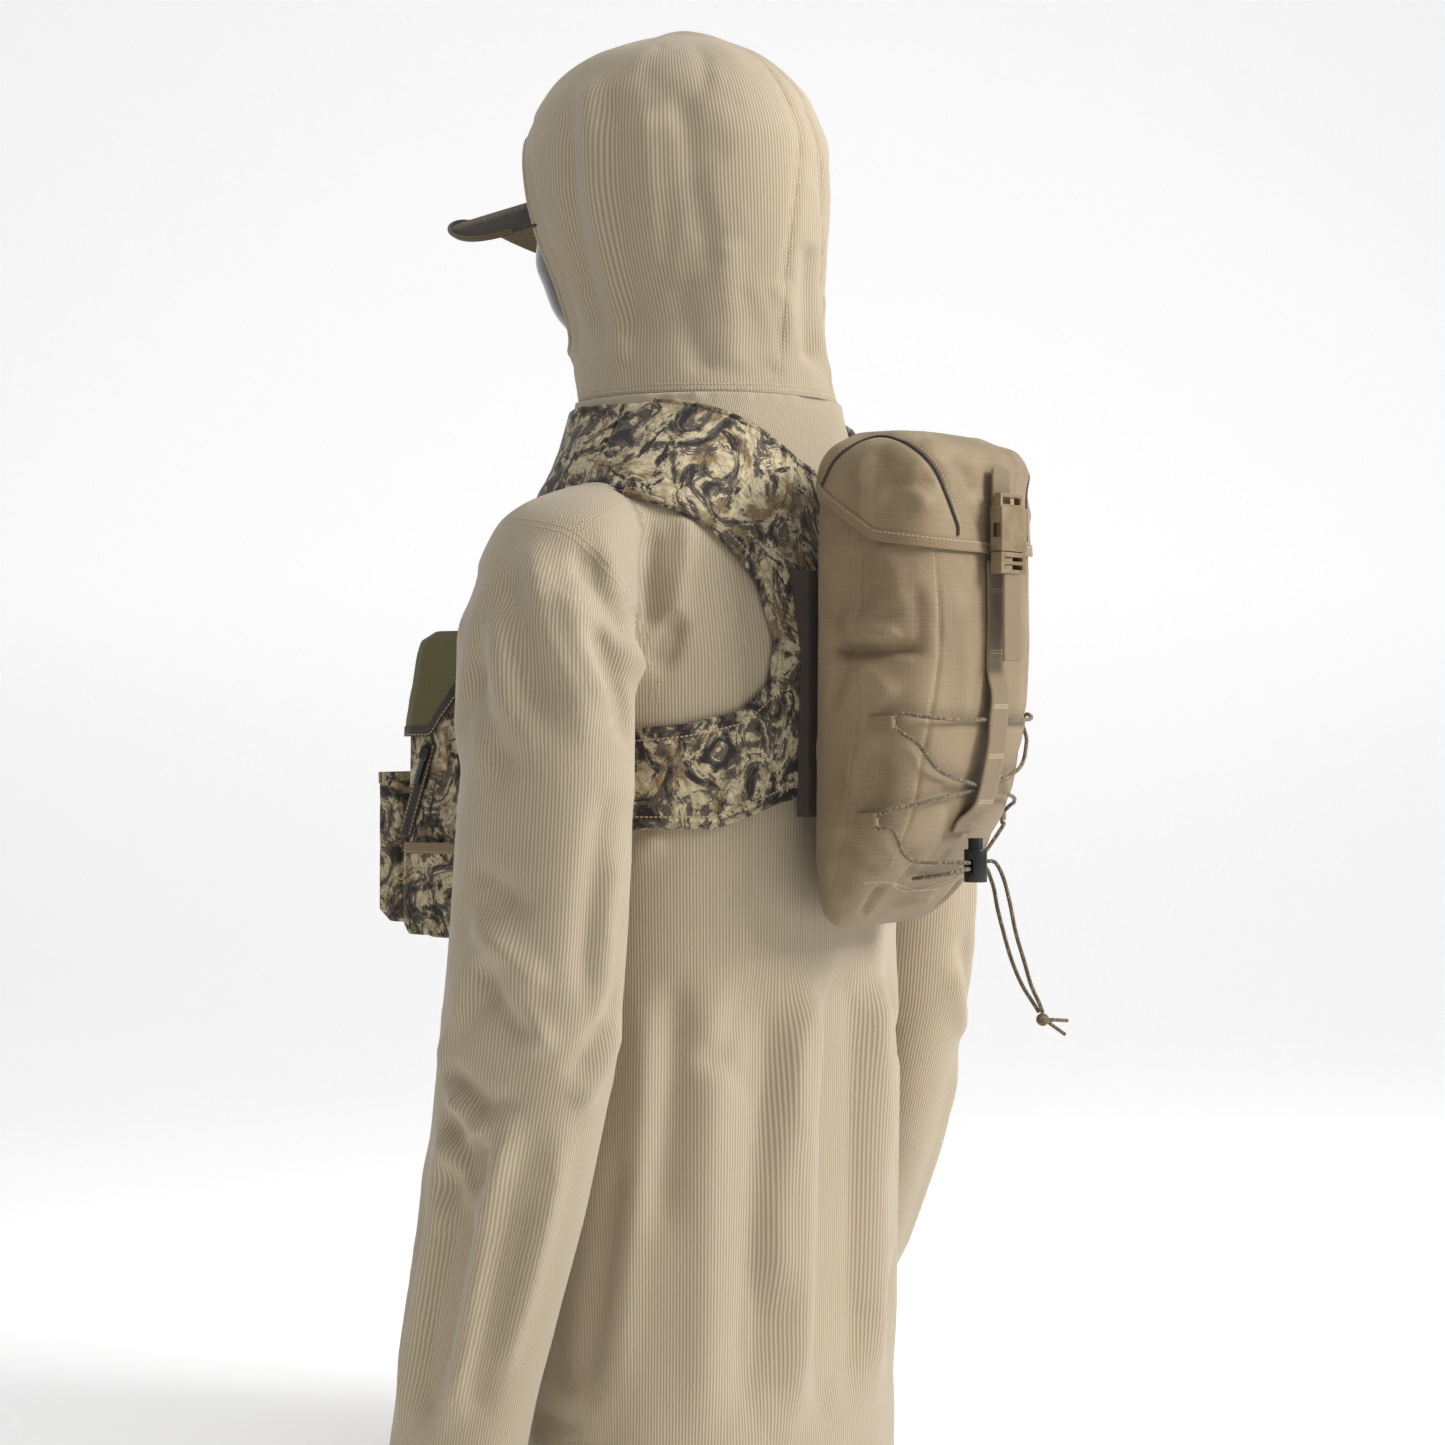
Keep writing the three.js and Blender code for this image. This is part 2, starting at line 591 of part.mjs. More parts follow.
// The compression webbing runs down the front face and stands off it where the lacing passes under.
const faceYAt = (z) => {
  const section = sectionAt(packSections, z);
  return section.y + section.b;
};
const WEB_TOP = lidLow - 4;
const webPath = [
  [WEB_TOP, 0.8],
  [packFloor + 0.71 * PACK_HEIGHT, 0.8],
  [packFloor + 0.59 * PACK_HEIGHT, 0.8],
  [packFloor + 0.53 * PACK_HEIGHT, 5.6],
  [packFloor + 0.469 * PACK_HEIGHT, 5.6],
  [packFloor + 0.4 * PACK_HEIGHT, 8.4],
  [packFloor + 0.2875 * PACK_HEIGHT, 8.4],
  [packFloor + 0.245 * PACK_HEIGHT, 1.2],
  [packFloor + 0.215 * PACK_HEIGHT, 1.2],
].map(([z, out]) => [faceYAt(z) + out, z]);
const webOutline = [...webPath, ...[...webPath].reverse().map(([y, z]) => [y + 1.8, z])];
add("pack_webbing", prismX(webOutline, -half, half), "webbing");

for (const [side, sign] of Object.entries(SIDE_NAMES)) {
  const x = sign * 55;
  const strap = box(x - 10, x + 10, 40, packBackY - GAP, packRim - 240, packRim - 60)
    .subtract(shirtSurface(LIFT + HARNESS_WALL + GAP));
  add(`pack_mount_strap_${side}`, strap, "webbing");
}

// ---------- bungee lacing, loops and cord lock ----------
// A point on the pack at height z, at a turn round it from the wearer's left, standing out from it.
const packPoint = (z, degrees, out) => {
  const s = sectionAt(packSections, z);
  const c = Math.cos(THREE.MathUtils.degToRad(degrees));
  const q = Math.sin(THREE.MathUtils.degToRad(degrees));
  const x = (s.a + out) * Math.sign(c) * Math.abs(c) ** (2 / s.n);
  const y = s.y + (s.b + out) * Math.sign(q) * Math.abs(q) ** (2 / s.n);
  return new THREE.Vector3(x, y, z);
};
const UPPER_LOOP = packFloor + 0.466 * PACK_HEIGHT;
const LOWER_LOOP = packFloor + 0.25 * PACK_HEIGHT;
const LOOP_TURN = 16; // degrees round the pack from its side
const TURN_RADIUS = 6;
const LOOP_OUT = 7.5;
const LOCK_X = -6;
const lockLevel = packFloor + 0.14 * PACK_HEIGHT;
const LOCK_OUT = 26; // the lock's middle from the back pouch's face
const lockY = faceYAt(lockLevel) + LOCK_OUT;
const LOCK_RADIUS = 8.5;
const LOCK_HALF = 12;
const mouth = (sign, lift) => new THREE.Vector3(LOCK_X + sign * (LOCK_RADIUS + GAP), lockY, lockLevel + lift);
const LACE_REST = CORD / 2 + 1.7; // the lace's middle above the pack, where it lies on it
// Both ends of the lace enter the lock from the wearer's left, one above the other.
const lacePoints = [
  mouth(1, 2.2),
  new THREE.Vector3(LOCK_X + 20, lockY - 2, lockLevel + 3),
  packPoint(lockLevel + 6, 64, 6),
  packPoint(LOWER_LOOP - TURN_RADIUS - 2, 36, LACE_REST + 0.6),
  packPoint(LOWER_LOOP - TURN_RADIUS, 22, LOOP_OUT - 1),
  packPoint(LOWER_LOOP, LOOP_TURN, LOOP_OUT),
  packPoint(LOWER_LOOP + TURN_RADIUS, 22, LOOP_OUT - 1),
  packPoint(LOWER_LOOP + 10, 42, LACE_REST + 0.2),
  packPoint(LOWER_LOOP + 15, 68, LACE_REST),
  packPoint(LOWER_LOOP + 22, 90, LACE_REST),
  packPoint(LOWER_LOOP + 34, 116, LACE_REST),
  packPoint(UPPER_LOOP - 16, 140, LACE_REST + 0.2),
  packPoint(UPPER_LOOP - TURN_RADIUS, 158, LOOP_OUT - 1),
  packPoint(UPPER_LOOP, 180 - LOOP_TURN, LOOP_OUT),
  packPoint(UPPER_LOOP + TURN_RADIUS, 158, LOOP_OUT - 1),
  packPoint(UPPER_LOOP + 4, 138, LACE_REST + 0.2),
  packPoint(UPPER_LOOP + 2, 112, LACE_REST),
  packPoint(UPPER_LOOP + 2, 90, LACE_REST),
  packPoint(UPPER_LOOP + 2, 68, LACE_REST),
  packPoint(UPPER_LOOP + 4, 42, LACE_REST + 0.2),
  packPoint(UPPER_LOOP + TURN_RADIUS, 22, LOOP_OUT - 1),
  packPoint(UPPER_LOOP, LOOP_TURN, LOOP_OUT),
  packPoint(UPPER_LOOP - TURN_RADIUS, 22, LOOP_OUT - 1),
  packPoint(UPPER_LOOP - 16, 40, LACE_REST + 0.2),
  packPoint(LOWER_LOOP + 34, 64, LACE_REST + 0.6),
  packPoint(LOWER_LOOP + 22, 90, 6.2),
  packPoint(LOWER_LOOP + 15, 112, LACE_REST + 0.6),
  packPoint(LOWER_LOOP + 10, 138, LACE_REST + 0.2),
  packPoint(LOWER_LOOP + TURN_RADIUS, 158, LOOP_OUT - 1),
  packPoint(LOWER_LOOP, 180 - LOOP_TURN, LOOP_OUT),
  packPoint(LOWER_LOOP - TURN_RADIUS, 158, LOOP_OUT - 1),
  packPoint(LOWER_LOOP - TURN_RADIUS - 4, 142, LACE_REST + 0.6),
  packPoint(lockLevel - 2, 112, LACE_REST + 0.2),
  packPoint(lockLevel - 8, 92, LACE_REST + 0.2),
  packPoint(lockLevel - 9, 78, 5),
  new THREE.Vector3(LOCK_X + 30, lockY - 7, lockLevel - 5),
  new THREE.Vector3(LOCK_X + 19, lockY - 1, lockLevel - 2.6),
  mouth(1, -2.2),
];
const LACE_SIDES = 6;
const LACE_STEPS = 130;
addGeometry("bungee_lacing", tube(lacePoints, CORD, LACE_SIDES, LACE_STEPS), "bungee");
const laceClearance = solidOf(tube(lacePoints, CORD + 2 * GAP, LACE_SIDES, LACE_STEPS));

const loopAt = (level, sign) => {
  const turn = sign > 0 ? LOOP_TURN : 180 - LOOP_TURN;
  const centre = packPoint(level, turn, LOOP_OUT);
  const rootPoint = packPoint(level, sign > 0 ? 4 : 176, 0.6);
  const inner = cylinder(CORD / 2 + 1.9, level - 5, level + 5, centre.x, centre.y, 12);
  const eye = cylinder(CORD / 2 + 3.2, level - 1.5, level + 1.5, centre.x, centre.y, 12);
  const reach = Math.hypot(centre.x - rootPoint.x, centre.y - rootPoint.y);
  const turnZ = THREE.MathUtils.radToDeg(Math.atan2(centre.y - rootPoint.y, centre.x - rootPoint.x));
  const stem = box(0, reach - 3.2, -1, 1, level - 1.5, level + 1.5)
    .rotate([0, 0, turnZ])
    .translate([rootPoint.x, rootPoint.y, 0]);
  const loop = eye.add(stem).subtract(inner).subtract(laceClearance);
  return loop.subtract(bothSides(loft(packSections, GAP)));
};
for (const [side, sign] of Object.entries(SIDE_NAMES)) {
  add(`lace_loop_upper_${side}`, loopAt(UPPER_LOOP, sign), "webbing");
  add(`lace_loop_lower_${side}`, loopAt(LOWER_LOOP, sign), "webbing");
}

const PLUNGER_TRAVEL = 5;
const plungerLow = lockLevel - 4.5;
const barrel = cylinder(LOCK_RADIUS, lockLevel - LOCK_HALF, lockLevel + LOCK_HALF, LOCK_X, lockY, 16)
  .subtract(cylinder(6.2, lockLevel - LOCK_HALF + 1.5, lockLevel + LOCK_HALF + 1, LOCK_X, lockY, 16))
  .subtract(box(LOCK_X - 12, LOCK_X + 12, lockY - 2.2, lockY + 2.2, lockLevel - 4.4, lockLevel + 4.4));
add("cord_lock_barrel", barrel, "lock");
const plunger = cylinder(5.5, plungerLow, lockLevel + LOCK_HALF + PLUNGER_TRAVEL + 3, LOCK_X, lockY, 16)
  .subtract(box(LOCK_X - 12, LOCK_X + 12, lockY - 2.2, lockY + 2.2, lockLevel - 3, lockLevel + 9));
add("cord_lock_plunger", plunger, "lock");

const springLow = lockLevel - LOCK_HALF + 1.5 + GAP + 0.5;
const springHigh = plungerLow - GAP - 0.5;
const springPoints = [];
const COILS = 3;
const PER_COIL = 10;
for (let i = 0; i <= COILS * PER_COIL; i++) {
  const angle = (2 * Math.PI * i) / PER_COIL;
  const z = THREE.MathUtils.lerp(springLow, springHigh, i / (COILS * PER_COIL));
  springPoints.push(new THREE.Vector3(LOCK_X + 4 * Math.cos(angle), lockY + 4 * Math.sin(angle), z));
}
addGeometry("cord_lock_spring", tube(springPoints, 0.9, 6, COILS * PER_COIL), "spring");

// The two free ends of the lace hang from the lock to one knot.
const knot = new THREE.Vector3(LOCK_X - 46, lockY + 30, lockLevel - 114);
const tailPoints = (lift, aside) => [
  mouth(-1, lift),
  new THREE.Vector3(LOCK_X - 15, lockY + 0.5, lockLevel + lift * 1.2),
  new THREE.Vector3(LOCK_X - 21, lockY + 2 + aside, lockLevel - 3 + lift * 2),
  new THREE.Vector3(LOCK_X - 25, lockY + 5 + aside * 1.5, lockLevel - 14 + lift * 2),
  new THREE.Vector3(LOCK_X - 27, lockY + 8 + aside * 2, lockLevel - 30 + lift),
  new THREE.Vector3(LOCK_X - 29, lockY + 12 + aside * 2, lockLevel - 50),
  new THREE.Vector3(LOCK_X - 32, lockY + 17 + aside * 2, lockLevel - 70),
  new THREE.Vector3(LOCK_X - 36, lockY + 22 + aside * 1.5, lockLevel - 88),
  new THREE.Vector3(LOCK_X - 41, lockY + 27 + aside, lockLevel - 101),
  new THREE.Vector3(knot.x + 1, knot.y - 1 + aside * 0.6, knot.z + 5.5),
];
addGeometry("bungee_tail_left", tube(tailPoints(2.2, 2.6), CORD, 8, 24), "bungee");
addGeometry("bungee_tail_right", tube(tailPoints(-2.2, -2.6), CORD, 8, 24), "bungee");
const knotBall = new THREE.IcosahedronGeometry(5, 1);
knotBall.translate(knot.x, knot.y, knot.z);
const tip = (dx, dz) => {
  const start = new THREE.Vector3(knot.x - 2, knot.y, knot.z);
  const end = new THREE.Vector3(knot.x - 2 + dx, knot.y + 9, knot.z + dz);
  return solidOf(tube([start, start.clone().lerp(end, 0.5), end], CORD, 8, 3));
};
add("bungee_knot", solidOf(knotBall).add(tip(-20, -2)).add(tip(-16, -12)), "bungee");

// ---------- chest pouch ----------
// Share of the height, share of the width, inset at the wearer's side, share of the depth.
const POUCH_SHAPE = [
  [0, 0.88, 5, 0.83],
  [0.036, 0.97, 1, 0.97],
  [0.18, 1, 0, 1],
  [0.77, 0.99, 0, 0.98],
  [1, 0.95, 0, 0.88],
];
const pouchSectionsOf = (shape, floor, height) =>
  shape.map(([up, wide, inset, deep]) => ({
    z: floor + up * height,
    y: pouchBackY - (inset + deep * POUCH_DEPTH) / 2,
    a: (wide * POUCH_WIDTH) / 2,
    b: (deep * POUCH_DEPTH - inset) / 2,
    n: 5,
  }));
const pouchSections = pouchSectionsOf(POUCH_SHAPE, pouchFloor, POUCH_HEIGHT);
const pouchCavity = [
  ...between(pouchSections, pouchFloor + 9, pouchRim).slice(0, -1),
  { ...pouchSections[4], z: pouchRim + 2 },
];
add("pouch_body", loft(pouchSections).subtract(loft(pouchCavity, -PACK_WALL)), "camo");

const pouchLidLow = pouchRim - 64;
const pouchDome = pouchSectionsOf(
  [
    [1.05, 0.92, 1, 0.86],
    [1.085, 0.82, 8, 0.76],
  ],
  pouchFloor,
  POUCH_HEIGHT,
);
const pouchLidOuter = loft([...between(pouchSections, pouchLidLow, pouchRim), ...pouchDome], lidGrow);
const pouchLidInner = loft(
  [...between(pouchSections, pouchLidLow - 4, pouchRim), { ...pouchDome[0] }],
  lidFit,
);
const pouchLidCut = prismX(
  [
    [0, pouchLidLow - 20],
    [0, pouchRim + 5],
    [pouchBackY - 12, pouchRim + 5],
    [pouchBackY - 16, pouchRim - 4],
    [pouchBackY - 62, pouchLidLow],
    [-400, pouchLidLow],
    [-400, pouchLidLow - 20],
  ],
  -200,
  200,
);
add("pouch_lid", pouchLidOuter.subtract(pouchLidInner).subtract(pouchLidCut), "oliveCloth");

const pouchFaceY = pouchBackY - POUCH_DEPTH;
const pocketTop = pouchLidLow - 28;
const pocketLow = pouchFloor + 10;
const pocketHalf = 78;
const pocketMidY = pouchFaceY - GAP - POCKET_DEPTH / 2;
const pocketSections = [
  { z: pocketLow, y: pocketMidY + 3, a: pocketHalf - 8, b: POCKET_DEPTH / 2 - 3, n: 4 },
  { z: pocketLow + 10, y: pocketMidY, a: pocketHalf, b: POCKET_DEPTH / 2, n: 4 },
  { z: pocketTop, y: pocketMidY, a: pocketHalf, b: POCKET_DEPTH / 2, n: 4 },
];
const pocketCavity = [
  { ...pocketSections[1], z: pocketLow + 8 },
  { ...pocketSections[2], z: pocketTop + 2 },
];
const pocket = loft(pocketSections).subtract(loft(pocketCavity, -2.4)).subtract(loft(pouchSections, GAP));
add("pouch_front_pocket", pocket, "camo");

const SIDE_POCKET_DEPTH = 16;
const sidePocketX = POUCH_WIDTH / 2 + GAP + SIDE_POCKET_DEPTH / 2;
const sidePocketY = pouchBackY - 44;
const sidePocketTop = pouchFloor + 76;
const sidePocketSections = [
  { z: pouchFloor + 4, x: sidePocketX - 1, y: sidePocketY, a: SIDE_POCKET_DEPTH / 2 - 1, b: 32, n: 4 },
  { z: pouchFloor + 12, x: sidePocketX, y: sidePocketY, a: SIDE_POCKET_DEPTH / 2, b: 36, n: 4 },
  { z: sidePocketTop, x: sidePocketX, y: sidePocketY, a: SIDE_POCKET_DEPTH / 2, b: 36, n: 4 },
];
const sidePocketCavity = [
  { ...sidePocketSections[1], z: pouchFloor + 9 },
  { ...sidePocketSections[2], z: sidePocketTop + 2 },
];
const sidePocket = loft(sidePocketSections, 0, 24)
  .subtract(loft(sidePocketCavity, -2.2, 24))
  .subtract(loft(pouchSections, GAP));

// The zip runs down the pouch's side, from under the lid towards the front.
const zipTop = new THREE.Vector2(pouchBackY - 62, pouchLidLow - 5);
const zipEnd = new THREE.Vector2(pouchBackY - 88, pouchFloor + 80);
const zipAlong = zipEnd.clone().sub(zipTop).normalize();
const zipAcross = new THREE.Vector2(-zipAlong.y, zipAlong.x);
const zipPoint = (along, across) => [
  zipTop.x + zipAlong.x * along + zipAcross.x * across,
  zipTop.y + zipAlong.y * along + zipAcross.y * across,
];
const zipLength = zipTop.distanceTo(zipEnd);
const zipFace = POUCH_WIDTH / 2 + 1.8;
const strip = (from, to, width, x0, x1) =>
  prismX(
    [zipPoint(from, -width / 2), zipPoint(from, width / 2), zipPoint(to, width / 2), zipPoint(to, -width / 2)],
    x0,
    x1,
  );
const zip = strip(0, zipLength, 12, POUCH_WIDTH / 2 - 14, zipFace)
  .subtract(loft(pouchSections, GAP))
  .subtract(pouchLidOuter.add(loft(between(pouchSections, pouchLidLow - 1, pouchRim), lidGrow + GAP)));
const slider = strip(4, 14, 8, zipFace + 0.4, zipFace + 4).add(strip(12, 34, 4, zipFace + 1.4, zipFace + 3));
for (const [side, sign] of Object.entries(SIDE_NAMES)) {
  add(`pouch_side_pocket_${side}`, mirrored(sidePocket, sign), "camo");
  add(`pouch_zip_${side}`, mirrored(zip, sign), "packCloth");
  add(`zip_slider_${side}`, mirrored(slider, sign), "lock");
}

export default group;
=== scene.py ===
"""A hooded sun shirt, cap, camouflage harness with a chest pouch, and a laced back pouch, on a display form.

Lengths in this file are millimetres unless a name ends in _m; MM turns them into the frame's metres.
The wearer faces -Y, the wearer's left is +X, and the form stands on z = 0.
"""
import math

import bmesh
import bpy
import numpy as np
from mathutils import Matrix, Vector
from mathutils.bvhtree import BVHTree


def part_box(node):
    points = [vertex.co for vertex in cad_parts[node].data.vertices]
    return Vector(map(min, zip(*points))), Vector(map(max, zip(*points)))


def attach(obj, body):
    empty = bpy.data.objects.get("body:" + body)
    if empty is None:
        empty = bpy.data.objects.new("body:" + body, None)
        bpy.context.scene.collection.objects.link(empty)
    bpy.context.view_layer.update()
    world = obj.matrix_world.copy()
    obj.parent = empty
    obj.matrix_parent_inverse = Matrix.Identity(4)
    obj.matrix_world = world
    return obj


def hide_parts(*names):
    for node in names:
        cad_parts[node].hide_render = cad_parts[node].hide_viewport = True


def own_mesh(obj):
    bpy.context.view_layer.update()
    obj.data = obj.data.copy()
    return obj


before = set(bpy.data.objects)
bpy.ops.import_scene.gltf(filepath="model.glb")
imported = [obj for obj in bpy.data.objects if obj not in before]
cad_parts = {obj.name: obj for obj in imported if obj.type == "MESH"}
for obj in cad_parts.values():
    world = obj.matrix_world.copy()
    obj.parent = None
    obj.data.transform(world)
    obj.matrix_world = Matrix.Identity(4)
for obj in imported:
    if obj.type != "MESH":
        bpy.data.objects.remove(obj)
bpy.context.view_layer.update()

MM = 0.001
ROOT = "outfit"
SIDES = ((1, "left"), (-1, "right"))


# ---------- small tools ----------
def node_box(name):
    low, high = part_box(name)
    return np.array(low) / MM, np.array(high) / MM


def smoothstep(value, low, high):
    t = np.clip((value - low) / (high - low), 0, 1)
    return t * t * (3 - 2 * t)


def bump(value, centre, width):
    return np.exp(-(((value - centre) / width) ** 2))


def unit(vectors):
    return vectors / np.maximum(np.linalg.norm(vectors, axis=-1, keepdims=True), 1e-9)


def linked(name, data):
    """A new object in the scene that shows this data."""
    piece = bpy.data.objects.new(name, data)
    bpy.context.collection.objects.link(piece)
    return piece


def new_object(name, vertices, faces):
    mesh = bpy.data.meshes.new(name)
    mesh.from_pydata((np.asarray(vertices, float) * MM).tolist(), [], [list(f) for f in faces])
    mesh.update()
    mesh.shade_smooth()
    return linked(name, mesh)


def grid_faces(rows, columns, wrap=False, start=0):
    """Quads over rows of points, which close round on themselves if wrap is set."""
    faces = []
    for i in range(rows - 1):
        low, high = start + i * columns, start + (i + 1) * columns
        for j in range(columns if wrap else columns - 1):
            k = (j + 1) % columns
            faces.append((low + j, low + k, high + k, high + j))
    return faces


def capped_faces(rows, columns):
    """The quads of a closed tube, and a face over each end."""
    last = (rows - 1) * columns
    ends = [tuple(range(columns))[::-1], tuple(range(last, last + columns))]
    return grid_faces(rows, columns, wrap=True) + ends


def grid_object(name, points, wrap=False, attributes=None):
    rows, columns = points.shape[:2]
    piece = new_object(name, points.reshape(-1, 3), grid_faces(rows, columns, wrap))
    for key, values in (attributes or {}).items():
        set_attribute(piece, key, values.reshape(-1))
    return piece


def set_attribute(piece, key, values):
    layer = piece.data.attributes.new(key, "FLOAT", "POINT")
    layer.data.foreach_set("value", np.asarray(values, np.float32))


def coordinates(piece):
    out = np.zeros(len(piece.data.vertices) * 3)
    piece.data.vertices.foreach_get("co", out)
    return out.reshape(-1, 3) / MM


def set_coordinates(piece, points):
    piece.data.vertices.foreach_set("co", (points * MM).reshape(-1))
    piece.data.update()


def push_out(piece, points, normals, lift):
    """The piece's points set to these, each moved along its normal."""
    set_coordinates(piece, points + normals * lift[:, None])


def normals_of(piece):
    out = np.zeros(len(piece.data.vertices) * 3)
    piece.data.vertices.foreach_get("normal", out)
    return out.reshape(-1, 3)


def bake_modifiers(piece):
    """The piece's mesh with its modifiers applied."""
    graph = bpy.context.evaluated_depsgraph_get()
    mesh = bpy.data.meshes.new_from_object(piece.evaluated_get(graph))
    piece.modifiers.clear()
    piece.data = mesh
    piece.data.shade_smooth()
    return piece


def subdivide(piece):
    modifier = piece.modifiers.new("subdivide", "SUBSURF")
    modifier.levels = modifier.render_levels = 1
    return bake_modifiers(piece)


def remesh(piece, voxel):
    """The piece grown into one closed skin of even cells."""
    modifier = piece.modifiers.new("grow_together", "REMESH")
    modifier.mode = "VOXEL"
    modifier.voxel_size = voxel * MM
    return bake_modifiers(piece)


def join(pieces):
    first = pieces[0]
    with bpy.context.temp_override(
        active_object=first, selected_editable_objects=pieces, selected_objects=pieces, object=first
    ):
        bpy.ops.object.join()
    return first


def thicken(piece, thickness, offset=-1.0):
    modifier = piece.modifiers.new("wall", "SOLIDIFY")
    modifier.thickness = thickness * MM
    modifier.offset = offset
    return bake_modifiers(piece)


def neighbours_mean(points, edges, weight, times):
    """Points moved towards the mean of their neighbours."""
    count = np.zeros(len(points))
    np.add.at(count, edges[:, 0], 1)
    np.add.at(count, edges[:, 1], 1)
    for _ in range(times):
        total = np.zeros_like(points)
        np.add.at(total, edges[:, 0], points[edges[:, 1]])
        np.add.at(total, edges[:, 1], points[edges[:, 0]])
        mean = total / np.maximum(count, 1)[:, None]
        points = points + (mean - points) * weight[:, None]
    return points


def edges_of(piece):
    out = np.zeros(len(piece.data.edges) * 2, int)
    piece.data.edges.foreach_get("vertices", out)
    return out.reshape(-1, 2)


def surface_tree(piece):
    bm = bmesh.new()
    bm.from_mesh(piece.data)
    tree = BVHTree.FromBMesh(bm)
    bm.free()
    return tree


def place(piece, material, body=ROOT, replaces=()):
    """The piece given its material, the body it moves with and the nodes that it stands for."""
    piece.data.materials.clear()
    piece.data.materials.append(material)
    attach(piece, body)
    if replaces:
        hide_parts(*replaces)
    return piece


def curve_points(points, steps):
    """A smooth run of points through the given ones."""
    points = np.asarray(points, float)
    points = np.vstack([2 * points[0] - points[1], points, 2 * points[-1] - points[-2]])
    spans = len(points) - 3
    out = []
    for value in np.linspace(0, spans, steps):
        i = min(int(value), spans - 1)
        t = value - i
        a, b, c, d = points[i : i + 4]
        square, cube = 2 * a - 5 * b + 4 * c - d, 3 * b - a - 3 * c + d
        out.append(0.5 * (2 * b + (c - a) * t + square * t**2 + cube * t**3))
    return np.array(out)


def run_lengths(points):
    """The way along a line to each of its points."""
    return np.r_[0, np.cumsum(np.linalg.norm(np.diff(points, axis=0), axis=1))]


def sample(points, lengths, at):
    return np.stack([np.interp(at, lengths, points[:, k]) for k in range(3)], axis=-1)


def even_points(points, spacing):
    """The same line with its points an even distance apart."""
    lengths = run_lengths(points)
    count = max(2, int(round(lengths[-1] / spacing)) + 1)
    return sample(points, lengths, np.linspace(0, lengths[-1], count))


def cord_object(name, points, diameter, steps=None):
    """A round cord as a curve through the points."""
    curve = bpy.data.curves.new(name, "CURVE")
    curve.dimensions = "3D"
    curve.bevel_depth = diameter / 2 * MM
    curve.bevel_resolution = 3
    curve.use_fill_caps = True
    line = curve.splines.new("POLY")
    points = curve_points(points, steps) if steps else np.asarray(points, float)
    line.points.add(len(points) - 1)
    for item, point in zip(line.points, points):
        item.co = (*(point * MM), 1)
    return linked(name, curve)


# ---------- camera ----------
VIEW_TURN = math.radians(125)
CAMERA_HEIGHT = 599
CAMERA_DISTANCE = 2400
CAMERA_SHIFT = 11  # the view's middle is this far to the right of the form's axis
VIEW_WIDTH = 1112
SENSOR = 36
towards = np.array([math.sin(VIEW_TURN), -math.cos(VIEW_TURN), 0])
rightwards = np.array([math.cos(VIEW_TURN), math.sin(VIEW_TURN), 0])
camera_data = bpy.data.cameras.new("camera")
camera_data.sensor_width = SENSOR
camera_data.lens = SENSOR * CAMERA_DISTANCE / VIEW_WIDTH
camera = linked("camera", camera_data)
camera.location = (towards * CAMERA_DISTANCE + rightwards * CAMERA_SHIFT + [0, 0, CAMERA_HEIGHT]) * MM
camera.rotation_euler = (math.radians(90), 0, VIEW_TURN)
bpy.context.scene.camera = camera

# ---------- the frame's driving sizes ----------
NECK = node_box("shirt_body")[1][2]
SHIRT_WIDTH = 364
SHIRT_DEPTH = 252
PACK_LOW, PACK_HIGH = node_box("pack_body")
PACK_BACK = PACK_LOW[1]
PACK_FLOOR = PACK_LOW[2]
PACK_RIM = PACK_HIGH[2]
PACK_HEIGHT = PACK_RIM - PACK_FLOOR
PACK_WIDTH = PACK_HIGH[0] - PACK_LOW[0]
PACK_DEPTH = PACK_HIGH[1] - PACK_LOW[1]
POUCH_LOW, POUCH_HIGH = node_box("pouch_body")
HEAD_LOW, HEAD_HIGH = node_box("form_head")
HEAD_HEIGHT = HEAD_HIGH[2] - HEAD_LOW[2]
BARREL_LOW, BARREL_HIGH = node_box("cord_lock_barrel")
LOCK = (BARREL_LOW + BARREL_HIGH) / 2


